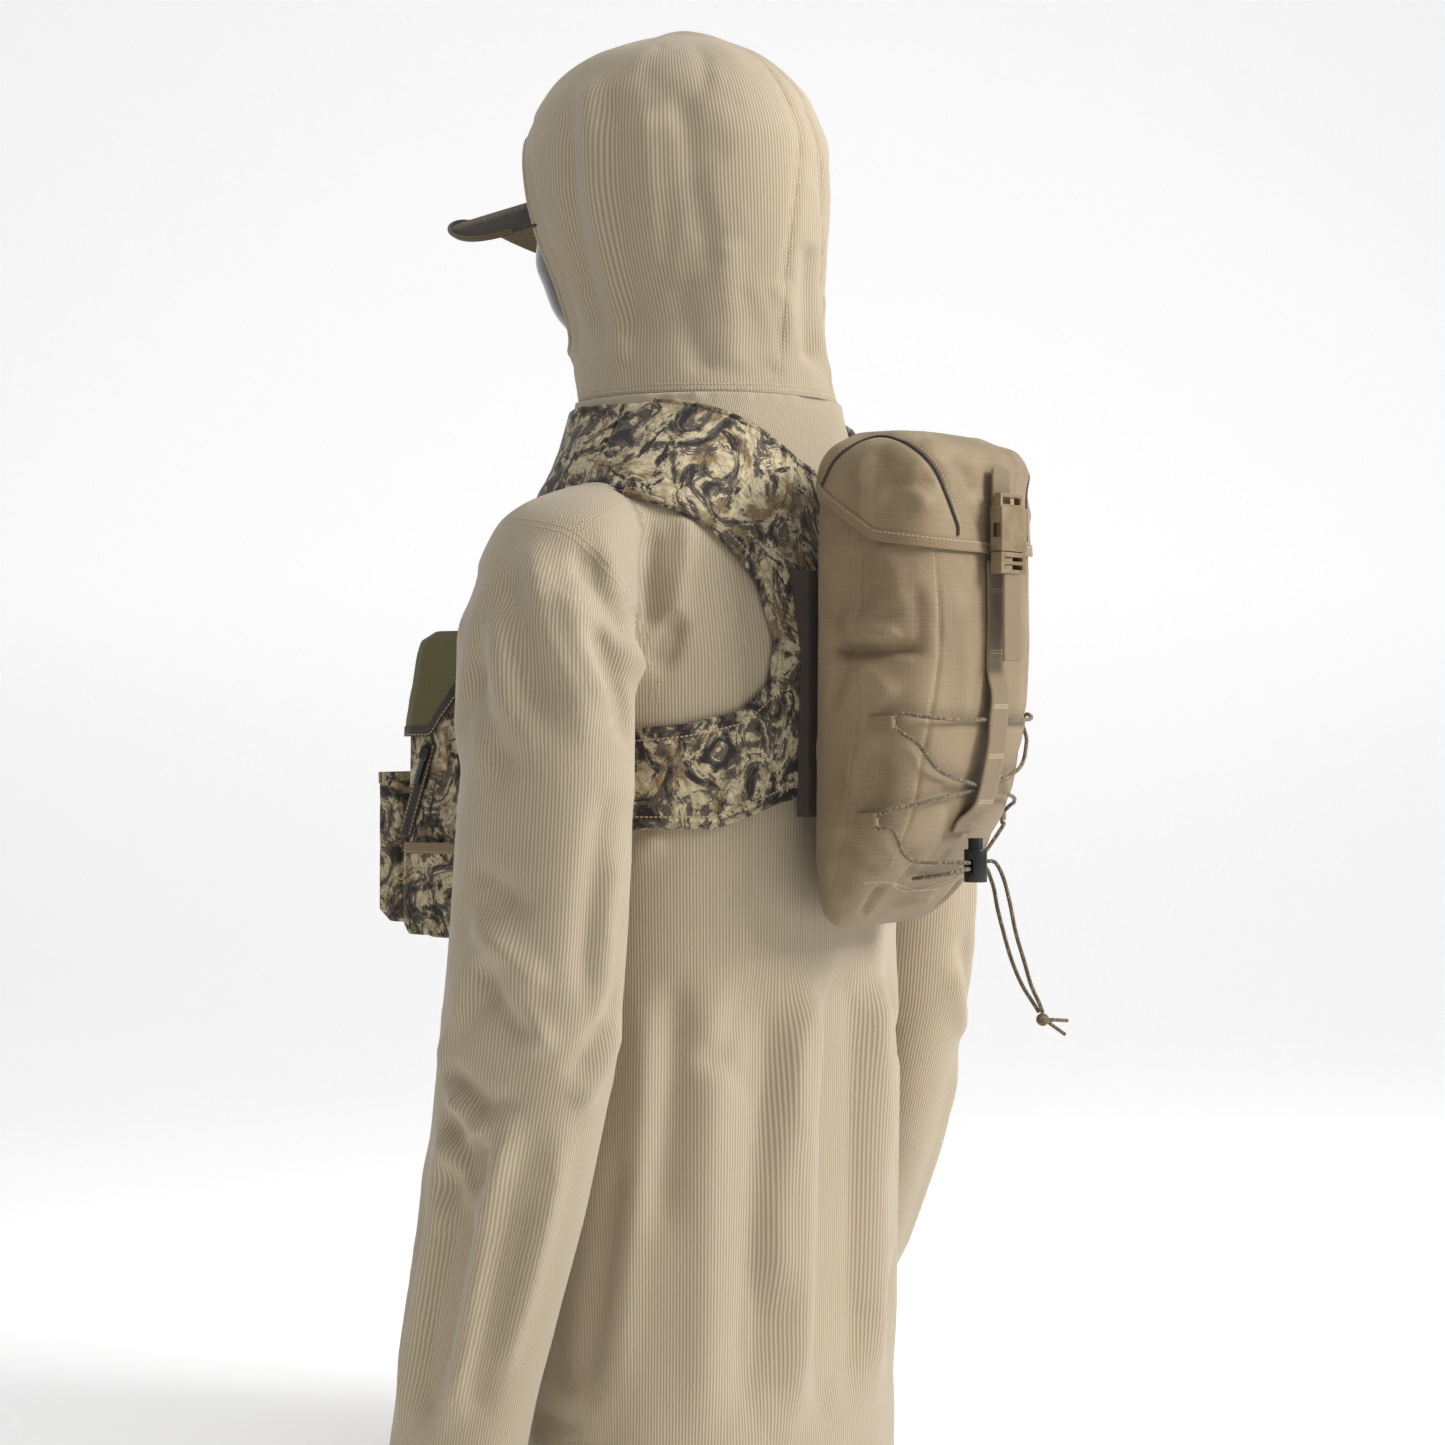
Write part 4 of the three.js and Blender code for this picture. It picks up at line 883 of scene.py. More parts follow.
def add_creases(piece, count, lengths, heights, widths, slope=0.0, seed=1, mask=None):
    """Small random creases, the same in each run."""
    points, normals = coordinates(piece), normals_of(piece)
    maker = np.random.default_rng(seed + 100)
    lift = np.zeros(len(points))
    for line in crease_lines(points, normals, count, lengths, slope, seed):
        height = maker.uniform(*heights) * maker.choice([-1, 1])
        lift += height * line_field(points, line, maker.uniform(*widths), 0.4)
    if mask is not None:
        lift *= mask
    push_out(piece, points, normals, lift)


shirt = shirt_piece()
edges = edges_of(shirt)
points = coordinates(shirt)
gap_body = shirt_sections.outside(points)
gap_sleeve = np.minimum(*(sleeve_sections[side].outside(points) for side in (1, -1)))
FAR = 1e3
sleeve_gap = np.where(np.abs(points[:, 0]) < 90, FAR, gap_sleeve)
# Where the sleeves grow out of the body, from the armpits up, the cloth is eased most.
junction = bump(np.abs(gap_body) + np.abs(sleeve_gap), 0, 16) * (points[:, 2] > 560)
at_cuff = (np.abs(points[:, 0]) > CUFF_INNER) & (points[:, 2] < CUFF + 1)
boundary = (points[:, 2] > NECK - 2) | (points[:, 2] < HEM + 1) | at_cuff
points = neighbours_mean(points, edges, np.where(boundary, 0, 0.5 * junction), 12)
points = neighbours_mean(points, edges, np.where(boundary, 0, 0.4), 2)
set_coordinates(shirt, points)
shirt_tree = surface_tree(shirt)

base_points = points.copy()
normals = normals_of(shirt)
is_sleeve = np.abs(sleeve_gap) < np.abs(gap_body)
lift = np.zeros(len(points))
fold_lines = [(h, w, seen_line(shirt_tree, stops), 1) for h, w, stops in SLEEVE_FOLDS]
fold_lines += [(h, w, seen_line(shirt_tree, stops), 0) for h, w, stops in BODY_FOLDS]
# Copies of the folds: side, front or back, share of the height, and shift upwards.
MIRRORS = ((1, 1, 1.0, 0), (-1, 1, 0.9, 8), (1, -1, 0.5, -14), (-1, -1, 0.55, 11))
for side_x, side_y, share, shift in MIRRORS:
    for height, width, line, on_sleeve in fold_lines:
        if line is None or (side_y < 0 and not on_sleeve and line[:, 2].max() > 470):
            continue
        copied = line * [side_x, side_y, 1] + [0, 0, shift]
        if on_sleeve and side_y < 0:
            middle = np.interp(copied[:, 2], sleeve_sections[1].z, sleeve_sections[1].columns[1])
            copied[:, 1] = 2 * middle + copied[:, 1]
        field = line_field(points, copied, width)
        lift += FOLD_STRENGTH * share * height * field * np.where(is_sleeve == bool(on_sleeve), 1, 0.25)
px, py, pz = points.T
under = inside_outline(YOKE, np.abs(px), pz) & (py > -2)
under |= inside_outline(STRAP, np.abs(px), pz) & (py < 2)
under &= ~is_sleeve
cover = np.repeat(under[:, None].astype(float), 3, 1)
cover = neighbours_mean(cover, edges, np.full(len(points), 0.5), 6)[:, 0]
behind_pack = (py > 40) & (np.abs(px) < 100) & (pz > 440) & (pz < 800)
behind_pouch = (py < -60) & (np.abs(px) < 105) & (pz > 425) & (pz < 705)
pressed = behind_pack | behind_pouch
lift = np.clip(lift, np.where(is_sleeve, -9.6, -16), np.where(pressed, 1.5, 16))
lift = lift * (1 - np.clip(2.2 * cover, 0, 1)) - HARNESS_CLEAR * cover
ease = smoothstep(points[:, 2], NECK, NECK - 30)
lift *= ease
push_out(shirt, points, normals, lift)
points = neighbours_mean(coordinates(shirt), edges, np.where(boundary, 0, 0.35), 1)
set_coordinates(shirt, points)
ease *= smoothstep(points[:, 2], HEM, HEM + 14)
free = (1 - np.clip(2 * cover, 0, 1)) * ease * np.where(pressed, 0.25, 1)
sleeve_share = np.where(is_sleeve, 0.6, 1)
# Long soft creases, then small ones.
add_creases(shirt, 70, (40, 120), (0.8, 2.2), (6, 11), 0.35, 3, free * sleeve_share)
add_creases(shirt, 140, (15, 50), (0.25, 0.7), (3.5, 6), 0.2, 5, free)
# Cloth that sank too deep is raised again, so that the form doesn't show through.
points = coordinates(shirt)
sunk = ((points - base_points) * normals).sum(axis=1)
deepest = np.where(is_sleeve, SLEEVE_DEEPEST, BODY_DEEPEST)
push_out(shirt, points, normals, np.maximum(0, deepest - sunk))

# The ribs follow the shape before folding, so that folds don't bend them.
points = base_points
_, y0, a0, b0 = shirt_sections.at(points[:, 2])
rib_x, rib_y = points[:, 0] / a0, (points[:, 1] - y0) / b0
for side in (1, -1):
    sx, sy, sa, sb = sleeve_sections[side].at(points[:, 2])
    on = is_sleeve & (points[:, 0] * side > 0)
    rib_x = np.where(on, (points[:, 0] - sx) / np.maximum(sa, 1), rib_x)
    rib_y = np.where(on, (points[:, 1] - sy) / np.maximum(sb, 1), rib_y)
set_attribute(shirt, "rib_c", rib_x)
set_attribute(shirt, "rib_s", rib_y)
BODY_RIBS = 390
SLEEVE_RIBS = 150
set_attribute(shirt, "rib_n", np.where(is_sleeve, SLEEVE_RIBS, BODY_RIBS))
subdivide(shirt)
shirt_skin = surface_tree(shirt)
thicken(shirt, 1.1)
place(shirt, RIB, replaces=("shirt_body", "sleeve_left", "sleeve_right"))


# ---------- hood ----------
HEAD_BASE = HEAD_LOW[2]
HEAD_WIDTH = HEAD_HIGH[0] - HEAD_LOW[0]
HEAD_DEPTH = 212
HOOD_ROOM = 20
HOOD_SHAPE = [
    (0.08, 0.94, 0.795, -7),
    (0.18, 0.86, 0.83, -12),
    (0.31, 0.9, 0.89, -20),
    (0.47, 0.96, 0.97, -27),
    (0.59, 1, 1, -30),
    (0.75, 0.99, 1, -32),
    (0.9, 0.87, 0.9, -36),
    (1, 0.67, 0.71, -38),
    (1.07, 0.4, 0.44, -38),
    (1.105, 0.12, 0.15, -38),
]
neck_row = [NECK] + [float(v) for v in shirt_sections.at(NECK)]
hood_rows = [neck_row]
for up, wide, deep, y in HOOD_SHAPE:
    a, b = wide * (HEAD_WIDTH / 2 + HOOD_ROOM), deep * (HEAD_DEPTH / 2 + HOOD_ROOM)
    hood_rows.append((HEAD_BASE + up * HEAD_HEIGHT, 0, y, a, b))
hood_sections = Sections(hood_rows, 2.1, 7)


def closing(ring, shares, rise):
    """Rings that close a shape's end, drawn in from its last ring."""
    centre = ring.mean(axis=0)
    return np.array([centre + (ring - centre) * share + [0, 0, rise * (1 - share**2)] for share in shares])


def dome_grid(sections, start, spacing, turns, out=0.0):
    """Rows of points from a height up over the top of a shape, an even way apart, closed at the top."""
    z = sections.z[sections.z >= start]
    _, y, a, b = sections.at(z)
    steps = np.hypot(np.diff(z), np.diff(a))
    lengths = np.r_[0, np.cumsum(steps)]
    levels = np.interp(np.linspace(0, lengths[-1], int(lengths[-1] / spacing)), lengths, z)
    around = np.arange(turns) * 360 / turns
    points = sections.point(around[None, :], levels[:, None], out)
    return np.vstack([points, closing(points[-1], (0.66, 0.33, 0.04), 1.4)])


FACE_CHIN = HEAD_BASE + 0.13 * HEAD_HEIGHT
FACE_TOP = HEAD_BASE + 0.84 * HEAD_HEIGHT
FACE_EDGE = [
    (-170, FACE_CHIN - 2),
    (-110, FACE_CHIN - 1),
    (-84, FACE_CHIN + 6),
    (-85, FACE_CHIN + 26),
    (-94, FACE_CHIN + 56),
    (-108, HEAD_BASE + 0.46 * HEAD_HEIGHT),
    (-126, HEAD_BASE + 0.65 * HEAD_HEIGHT),
    (-140, FACE_TOP - 8),
    (-150, FACE_TOP),
    (-190, FACE_TOP),
]


def nearest_on(line, points):
    """The nearest point of a flat line to each point."""
    best = np.full(len(points), 1e9)
    found = points.copy()
    for start, end in zip(line[:-1], line[1:]):
        way = np.subtract(end, start)
        share = np.clip(((points - start) @ way) / (way @ way), 0, 1)
        at = start + share[:, None] * way
        gap = np.linalg.norm(points - at, axis=1)
        closer = gap < best
        best[closer], found[closer] = gap[closer], at[closer]
    return found


HOOD_AROUND = 190
HOOD_RIBS = 240


def hood_piece():
    grid = dome_grid(hood_sections, NECK - 1, 3.2, HOOD_AROUND)
    turn = np.broadcast_to(np.arange(HOOD_AROUND) * 2 * np.pi / HOOD_AROUND, grid.shape[:2])
    ribs = {"rib_c": np.cos(turn), "rib_s": np.sin(turn), "rib_n": np.full(grid.shape[:2], HOOD_RIBS)}
    hood = grid_object("hood_cloth", grid, wrap=True, attributes=ribs)
    bm = bmesh.new()
    bm.from_mesh(hood.data)
    cut = []
    outline = FACE_EDGE + [(-300, FACE_TOP), (-300, FACE_CHIN - 2)]
    for face in bm.faces:
        c = np.array(face.calc_center_median()) / MM
        if inside_outline(outline, np.array([c[1]]), np.array([c[2]]))[0]:
            cut.append(face)
    bmesh.ops.delete(bm, geom=cut, context="FACES")
    edge = [v for v in bm.verts if v.is_boundary and v.co.z > (NECK + 20) * MM]
    sides = np.array([(v.co.y, v.co.z) for v in edge]) / MM
    for vertex, (y, z) in zip(edge, nearest_on(np.array(FACE_EDGE, float), sides)):
        vertex.co.y, vertex.co.z = y * MM, z * MM
    bm.to_mesh(hood.data)
    bm.free()
    hood.data.shade_smooth()
    return hood


HOOD_FOLDS = [
    (-2.5, 4, [(28, 1113), (44, 1097), (59, 1070), (69, 1039), (67, 1001), (59, 939), (54, 880), (52, 850)]),
    (5, 10, [(-92, 1096), (-88, 1040), (-84, 985), (-72, 930), (-62, 862)]),
    (-4, 9, [(-108, 1070), (-104, 1010), (-98, 960), (-80, 890)]),
    (-4.5, 9, [(-74, 1080), (-70, 1010), (-64, 950), (-52, 880)]),
    (3.5, 9, [(-48, 1060), (-44, 1000), (-38, 930)]),
    (-3, 9, [(-22, 1070), (-10, 1000), (4, 930)]),
    (-3, 8, [(62, 1096), (76, 1080), (88, 1070)]),
    (3, 11, [(-96, 930), (-84, 890), (-60, 862)]),
    (-3, 10, [(-20, 930), (-10, 880), (0, 856)]),
    (3, 12, [(10, 960), (16, 900), (20, 856)]),
    (-3, 10, [(78, 960), (74, 910), (78, 866)]),
    (3, 9, [(88, 930), (86, 890), (94, 858)]),
    (-2, 14, [(-60, 1090), (-20, 1060), (10, 1010)]),
]
hood = hood_piece()
hood_tree = surface_tree(hood)
points, normals = coordinates(hood), normals_of(hood)
lift = np.zeros(len(points))
for height, width, stops in HOOD_FOLDS:
    line = seen_line(hood_tree, stops)
    if line is None:
        continue
    for side in (1, -1):
        lift += height * line_field(points, line * [side, 1, 1], width, 0.12)
hood_free = smoothstep(points[:, 2], NECK, NECK + 12)
push_out(hood, points, normals, lift * hood_free)
add_creases(hood, 46, (30, 110), (0.5, 1.8), (6, 13), 0.1, 21, hood_free)
add_creases(hood, 60, (12, 40), (0.2, 0.6), (3.5, 6), 0.3, 22, hood_free)
points = coordinates(hood)
sides = points[:, 1:]
edge_gap = np.linalg.norm(sides - nearest_on(np.array(FACE_EDGE, float), sides), axis=1)
hem = bump(edge_gap, 3, 4) * 1.1 - bump(edge_gap, 13, 2.4) * 1.0
hem *= (points[:, 1] < -60) & (points[:, 2] > FACE_CHIN - 20)
push_out(hood, points, normals_of(hood), hem)
subdivide(hood)
hood_skin = surface_tree(hood)
thicken(hood, 1.2)
place(hood, RIB, replaces=("hood",))


def face_hem_line():
    """The rolled edge round the face opening: up the left side, over the brow, down and under the chin."""
    sides = even_points(np.array([(0, y, z) for y, z in FACE_EDGE[1:-1]], float), 4)
    _, y, a, b = hood_sections.at(sides[:, 2])
    share = np.clip(np.abs(sides[:, 1] - y) / b, 0, 1)
    sides[:, 0] = a * (1 - share**2.1) ** (1 / 2.1)
    arcs = []
    for end, turned in ((sides[-1], 1), (sides[0], -1)):
        _, y, a, b = hood_sections.at(end[2])
        x = np.linspace(end[0], -end[0], 30)[1:-1] * turned
        front = y - b * (1 - np.abs(x / a) ** 2.1) ** (1 / 2.1)
        arcs.append(np.column_stack([x, front, np.full(len(x), end[2])]))
    return np.vstack([sides, arcs[0], sides[::-1] * [-1, 1, 1], arcs[1], sides[:1]])


hem_line = np.array([np.array(hood_skin.find_nearest(Vector(p * MM))[0]) / MM for p in face_hem_line()])
for _ in range(3):
    hem_line[1:-1] = (hem_line[:-2] + 2 * hem_line[1:-1] + hem_line[2:]) / 4
face_hem = cord_object("hood_face_hem", hem_line, 4.2, 400)
place(face_hem, RIB)

# ---------- head, cap crown and bill ----------
HEAD_SHAPE = [
    (0, 0.74, 0.56, 0),
    (0.09, 0.72, 0.56, -6),
    (0.15, 0.74, 0.76, -28),
    (0.28, 0.87, 0.92, -42),
    (0.42, 0.96, 0.98, -48),
    (0.58, 1, 1, -48),
    (0.74, 0.99, 0.98, -46),
    (0.87, 0.88, 0.86, -43),
    (0.95, 0.66, 0.64, -41),
    (1, 0.3, 0.3, -40),
]
head_rows = [
    (HEAD_BASE + up * HEAD_HEIGHT, 0, y, wide * HEAD_WIDTH / 2, deep * HEAD_DEPTH / 2)
    for up, wide, deep, y in HEAD_SHAPE
]
head_sections = Sections(head_rows, 2.1, 6)
HEAD_AROUND = 160
head_grid = dome_grid(head_sections, HEAD_BASE, 3, HEAD_AROUND, -0.8)
head = grid_object("head_form", head_grid, wrap=True)
points, normals = coordinates(head), normals_of(head)
FACE_FEATURES = [
    (3.2, 0, 0.44, 8, 13),  # nose
    (-2.6, 27, 0.51, 14, 9),  # eye hollows
    (2.2, 0, 0.27, 16, 8),  # lips
    (-1.6, 0, 0.225, 18, 5),
    (2.4, 0, 0.18, 18, 9),  # chin
    (1.6, 34, 0.42, 14, 12),  # cheeks
    (1.4, 18, 0.58, 26, 6),  # brow
]
lift = np.zeros(len(points))
for height, x, up, wide, tall in FACE_FEATURES:
    level = bump(points[:, 2], HEAD_BASE + up * HEAD_HEIGHT, tall)
    lift += height * level * np.maximum(bump(points[:, 0], x, wide), bump(points[:, 0], -x, wide))
lift *= smoothstep(-points[:, 1], 80, 120)
push_out(head, points, normals, lift)
place(head, GLOSS_BLACK, replaces=("form_head",))

CAP_EDGE = HEAD_BASE + 0.65 * HEAD_HEIGHT
CAP_OUT = 3.2
cap_grid = dome_grid(head_sections, CAP_EDGE, 3, HEAD_AROUND, CAP_OUT - 1)
ring = np.broadcast_to(np.arange(HEAD_AROUND) * 2 * np.pi / HEAD_AROUND * 76, cap_grid.shape[:2])
cap_weave = {"cloth_u": ring, "cloth_v": cap_grid[:, :, 2].copy()}
cap = grid_object("cap_crown_cloth", cap_grid, wrap=True, attributes=cap_weave)
points, normals = coordinates(cap), normals_of(cap)
panel_turn = np.degrees(np.arctan2(points[:, 1] + 46, points[:, 0]))
panel_gap = np.abs((panel_turn + 30) % 60 - 30)
lift = -0.9 * bump(panel_gap, 0, 1.6) + 0.5 * bump(points[:, 2], CAP_EDGE + 8, 5)
push_out(cap, points, normals, lift)
thicken(cap, 1.6)
place(cap, CAP_CLOTH, replaces=("cap_crown",))

BROW_Y = float(head_sections.at(CAP_EDGE)[1] - head_sections.at(CAP_EDGE)[3])
BILL_HALF = 74
BILL_LENGTH = 84
BILL_REAR = 20
BILL_DROP = 40
BILL_TILT = 12
across = np.sin(np.linspace(-1, 1, 61) * np.pi / 2)
along = np.linspace(0, 1, 30)
bill_x = BILL_HALF * across
_, cap_y, cap_a, cap_b = head_sections.at(CAP_EDGE)
root_y = cap_y - (cap_b + 5) * np.sqrt(np.clip(1 - (bill_x / (cap_a + 5)) ** 2, 0, 1))
tip_y = BROW_Y + BILL_REAR - (BILL_LENGTH + BILL_REAR - 1) * (1 - np.abs(across) ** 2.4) ** (1 / 2.4)
tip_y = np.minimum(tip_y, root_y - 2)
bill_y = root_y + (tip_y - root_y) * along[:, None]
arch = -BILL_DROP * across**2
bill_z = CAP_EDGE + 0.6 + arch + (bill_y - BROW_Y) * BILL_TILT / BILL_LENGTH
bill_points = np.stack([np.broadcast_to(bill_x, bill_y.shape), bill_y, bill_z], axis=-1)
from_tip = (1 - along)[:, None] * (root_y - tip_y)
bill_attributes = {
    "cloth_u": np.broadcast_to(bill_x, bill_y.shape),
    "cloth_v": bill_y,
    "bill_row": np.broadcast_to(from_tip, bill_y.shape),
}
bill = grid_object("cap_bill_cloth", bill_points, attributes=bill_attributes)
subdivide(bill)
thicken(bill, 2.2, 1.0)
bill_cloth = Nodes("bill_twill", roughness=0.85, sheen=0.2, specular=0.2)
row = bill_cloth.math("PINGPONG", bill_cloth.attribute("bill_row"), 3.2)
groove = bill_cloth.math("SUBTRACT", 1.0, bill_cloth.ramp(row, [(0.0, 1.0), (0.9, 0.0)]))
bill_base = bill_cloth.mix(bill_cloth.noise(300, 3), from_srgb(110, 92, 60), from_srgb(78, 64, 40))
# Painted shade: the stitched grooves across the bill are coloured near black where the relief sinks.
bill_cloth.colour(bill_cloth.mix(groove, from_srgb(52, 41, 26), bill_base))
bill_grain = bill_cloth.times(bill_cloth.noise(900, 2), 0.3)
bill_cloth.relief(bill_cloth.math("ADD", groove, bill_grain), 0.5, 0.7)
place(bill, bill_cloth.material, replaces=("cap_bill",))
# A thin dark sheet just under the bill: painted shade cast by the bill.
bill_under_painted_shade = grid_object("cap_bill_underside_painted_shade", bill_points - [0, 0, 0.5], attributes=bill_attributes)
thicken(bill_under_painted_shade, 0.4)
place(bill_under_painted_shade, CAP_UNDER_PAINTED_SHADE)
edge_line = bill_points[-1] + [0, -0.4, 1.0]
bill_edge = cord_object("cap_bill_edge", edge_line, 3.4)
place(bill_edge, CAP_CLOTH)


# ---------- seams ----------
def stitches(name, lines, normals, material, slot, body=ROOT, length=2.6, pitch=3.6, width=0.55, proud=0.25):
    """Rows of short raised stitches: each line is a run of points with the surface's normals."""
    verts, faces = [], []
    shape = [(-0.5, 0), (-0.35, 1), (0.35, 1), (0.5, 0)]
    for line, out in zip(lines, normals):
        if line is None or len(line) < 3:
            continue
        lengths = run_lengths(line)
        for at in np.arange(pitch / 2, lengths[-1] - pitch / 2, pitch):
            centre = sample(line, lengths, at)
            normal = unit(sample(out, lengths, at))
            way = unit(sample(line, lengths, at + 1) - centre)
            side = np.cross(normal, way)
            start = len(verts)
            for along_share, rise in shape:
                middle = centre + way * along_share * length
                for side_share, height in ((-1, 0.0), (-0.6, 0.8), (0.6, 0.8), (1, 0.0)):
                    spot = middle + side * side_share * width * (0.4 + 0.6 * rise)
                    verts.append(spot + normal * (proud * (0.2 + 0.8 * rise) * (height + 0.2)))
            faces += grid_faces(4, 4, start=start)
    return place(new_object(name, verts, faces), material, body)


def on_surface(tree, points, lift=0.0):
    """The nearest points of a surface, and its normals there."""
    found, normals = [], []
    for point in points:
        location, normal, _, _ = tree.find_nearest(Vector(point * MM))
        normals.append(np.array(normal))
        found.append(np.array(location) / MM + np.array(normal) * lift)
    return np.array(found), np.array(normals)


def beside(line, normals, away):
    """The line moved sideways on its surface."""
    ways = unit(np.gradient(line, axis=0))
    return line + np.cross(normals, ways) * away


# ---------- harness ----------
HARNESS_LIFT = 0.6
HARNESS_WALL = 5
BINDING_OUT = HARNESS_LIFT + HARNESS_WALL / 2 + 0.2


def frame_copy(node, name):
    """A CAD node's mesh as a new object of its own, in the scene's frame."""
    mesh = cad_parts[node].data.copy()
    mesh.materials.clear()
    mesh.transform(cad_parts[node].matrix_world)
    return linked(name, mesh)


def soft_copy(node, name, voxel, smoothing=3):
    """A soft version of a CAD node: its shape grown anew and rounded off."""
    piece = remesh(frame_copy(node, name), voxel)
    weight = np.full(len(piece.data.vertices), 0.5)
    set_coordinates(piece, neighbours_mean(coordinates(piece), edges_of(piece), weight, smoothing))
    return piece


def lay_weave(piece):
    """Weave directions, in mm along the cloth, from which way each part faces."""
    points, facing = coordinates(piece), np.abs(normals_of(piece))
    flat = facing[:, 2] > 0.8
    sideways = facing[:, 0] > facing[:, 1]
    set_attribute(piece, "cloth_u", np.where(sideways & ~flat, points[:, 1], points[:, 0]))
    set_attribute(piece, "cloth_v", np.where(flat, points[:, 1], points[:, 2]))


def harness_line(stops, back):
    """A harness edge laid on the shirt's shape: stops are (x, z) as cut, for the wearer's left half."""
    line = []
    for x, z in even_points(np.array([(x, z, 0) for x, z in stops], float), 4.0)[:, :2]:
        half_wide = float(shirt_sections.at(z)[2])
        if x < half_wide * 0.999:
            line.append(shirt_sections.point(shirt_sections.turn_at(x, z, back), z, 0))
    return np.array(line)


def surface_normals(points):
    """The shirt's outward direction beside points on it."""
    x, y, a, b = shirt_sections.at(points[:, 2])
    rx, ry = (points[:, 0] - x) / a, (points[:, 1] - y) / b
    out = np.stack([np.sign(rx) * np.abs(rx) ** 1.3 / a, np.sign(ry) * np.abs(ry) ** 1.3 / b, 0 * rx], axis=1)
    return unit(out)


HARNESS_BACK = soft_copy("harness_back_panel", "harness_back", 1.7, 4)
padded_parts = {"harness_back_panel": HARNESS_BACK}
for side in ("left", "right"):
    strap = f"shoulder_strap_{side}"
    padded_parts[strap] = soft_copy(strap, f"harness_strap_{side}", 1.5, 4)
for node, piece in padded_parts.items():
    points = coordinates(piece)
    outward = shirt_sections.outside(points) > 3
    pack_side = (points[:, 1] > 60) & (np.abs(points[:, 0]) < 95) & (points[:, 2] < 800)
    add_creases(piece, 40, (25, 80), (0.3, 1.1), (5, 10), 0.4, 31, outward * np.where(pack_side, 0.2, 1.0))
    place(piece, CAMO, replaces=(node,))

harness_edges = []
for side in (1, -1):
    for name, stops, back in (
        ("outer", YOKE_OUTER, True),
        ("lower", YOKE_LOWER[1:], True),
        ("neck", YOKE_NECK[:-1], True),
        ("front", STRAP[:3], False),
        ("front_outer", STRAP[5:] + STRAP[:1], False),
    ):
        line = harness_line(stops, back)
        if len(line) < 3:
            continue
        normals = surface_normals(line)
        line = (line + normals * BINDING_OUT) * [side, 1, 1]
        normals = normals * [side, 1, 1]
        harness_edges.append((name, side, line, normals))
for name, side, line, normals in harness_edges:
    label = "left" if side > 0 else "right"
    # The bindings wear the camo's painted-shade copy.
    binding = cord_object(f"harness_binding_{name}_{label}", line, HARNESS_WALL + 0.6)
    place(binding, CAMO_PAINTED_SHADE)


# ---------- tapes, hard parts and pouches: tools ----------
def tape_object(name, line, normals, width, thickness, material, slot, body=ROOT, replaces=()):
    """Woven tape laid along a line: the normals face out of its flat side."""
    line = np.asarray(line, float)
    normals = unit(np.asarray(normals, float))
    ways = unit(np.gradient(line, axis=0))
    sides = unit(np.cross(normals, ways))
    edge = 0.35
    half, low, high = width / 2, -thickness / 2, thickness / 2
    across = np.linspace(-half + edge, half - edge, 9)
    profile = [(-half, low + edge)] + [(-half, high - edge)] + [(s, high) for s in across]
    profile += [(half, high - edge), (half, low + edge)] + [(s, low) for s in across[::-1]]
    rows = np.stack([line + sides * s + normals * h for s, h in profile], axis=1)
    piece = new_object(name, rows.reshape(-1, 3), capped_faces(len(rows), len(profile)))
    set_attribute(piece, "cloth_u", np.tile([s for s, _ in profile], len(rows)))
    set_attribute(piece, "cloth_v", np.repeat(run_lengths(line), len(profile)))
    return place(piece, material, body, replaces)


def hard_copy(node, material, body=ROOT, bevel=0.6, segments=2, weave=False):
    """A moulded part from its CAD shape, with its edges rounded."""
    piece = frame_copy(node, f"{node}_moulded")
    mesh = piece.data
    bm = bmesh.new()
    bm.from_mesh(mesh)
    bmesh.ops.remove_doubles(bm, verts=bm.verts, dist=0.01 * MM)
    bmesh.ops.dissolve_limit(bm, angle_limit=math.radians(4), verts=bm.verts, edges=bm.edges)
    bm.to_mesh(mesh)
    bm.free()
    rounding = piece.modifiers.new("rounding", "BEVEL")
    rounding.width = bevel * MM
    rounding.segments = segments
    rounding.limit_method = "ANGLE"
    rounding.angle_limit = math.radians(35)
    bake_modifiers(piece)
    if weave:
        lay_weave(piece)
    return place(piece, material, body, (node,))


def rings(sections, levels, out, count):
    """Level rings of evenly spaced points, from the wearer's left towards the back."""
    turns = np.linspace(0, 360, 1441)
    rows = []
    for z in levels:
        dense = sections.point(turns, np.full(len(turns), z), out)
        lengths = run_lengths(dense)
        rows.append(sample(dense, lengths, np.linspace(0, lengths[-1], count, endpoint=False)))
    return np.array(rows)


def weave_attributes(grid):
    """Weave directions, in mm: round a closed grid along its last row, and up it along its first column."""
    around, up = run_lengths(grid[-1]), run_lengths(grid[:, 0])
    shape = grid.shape[:2]
    return {"cloth_u": np.broadcast_to(around, shape), "cloth_v": np.broadcast_to(up[:, None], shape)}


def apply_folds(piece, folds, tree, mask):
    """Folds given as seen, and their mirror images on the other side."""
    points, normals = coordinates(piece), normals_of(piece)
    lift = np.zeros(len(points))
    for height, width, stops in folds:
        line = seen_line(tree, stops, 2.0)
        if line is not None:
            for mirror, share in ((1, 1), (-1, 0.8)):
                lift += share * height * line_field(points, line * [mirror, 1, 1], width, 0.25)
    push_out(piece, points, normals, lift * mask)


# ---------- back pouch ----------
PACK_SHAPE = [
    (0, 0.6, 10, 0.2),
    (0.019, 0.76, 5, 0.31),
    (0.072, 0.874, 2, 0.46),
    (0.153, 0.943, 0, 0.64),
    (0.2875, 0.989, 0, 0.85),
    (0.469, 1, 0, 0.97),
    (0.653, 1, 0, 1),
    (0.844, 0.989, 0, 0.99),
    (1, 0.966, 1, 0.966),
]
LID_DOME = [(15, 0.98, 3, 0.98), (30, 0.86, 10, 0.9), (38, 0.62, 26, 0.68)]


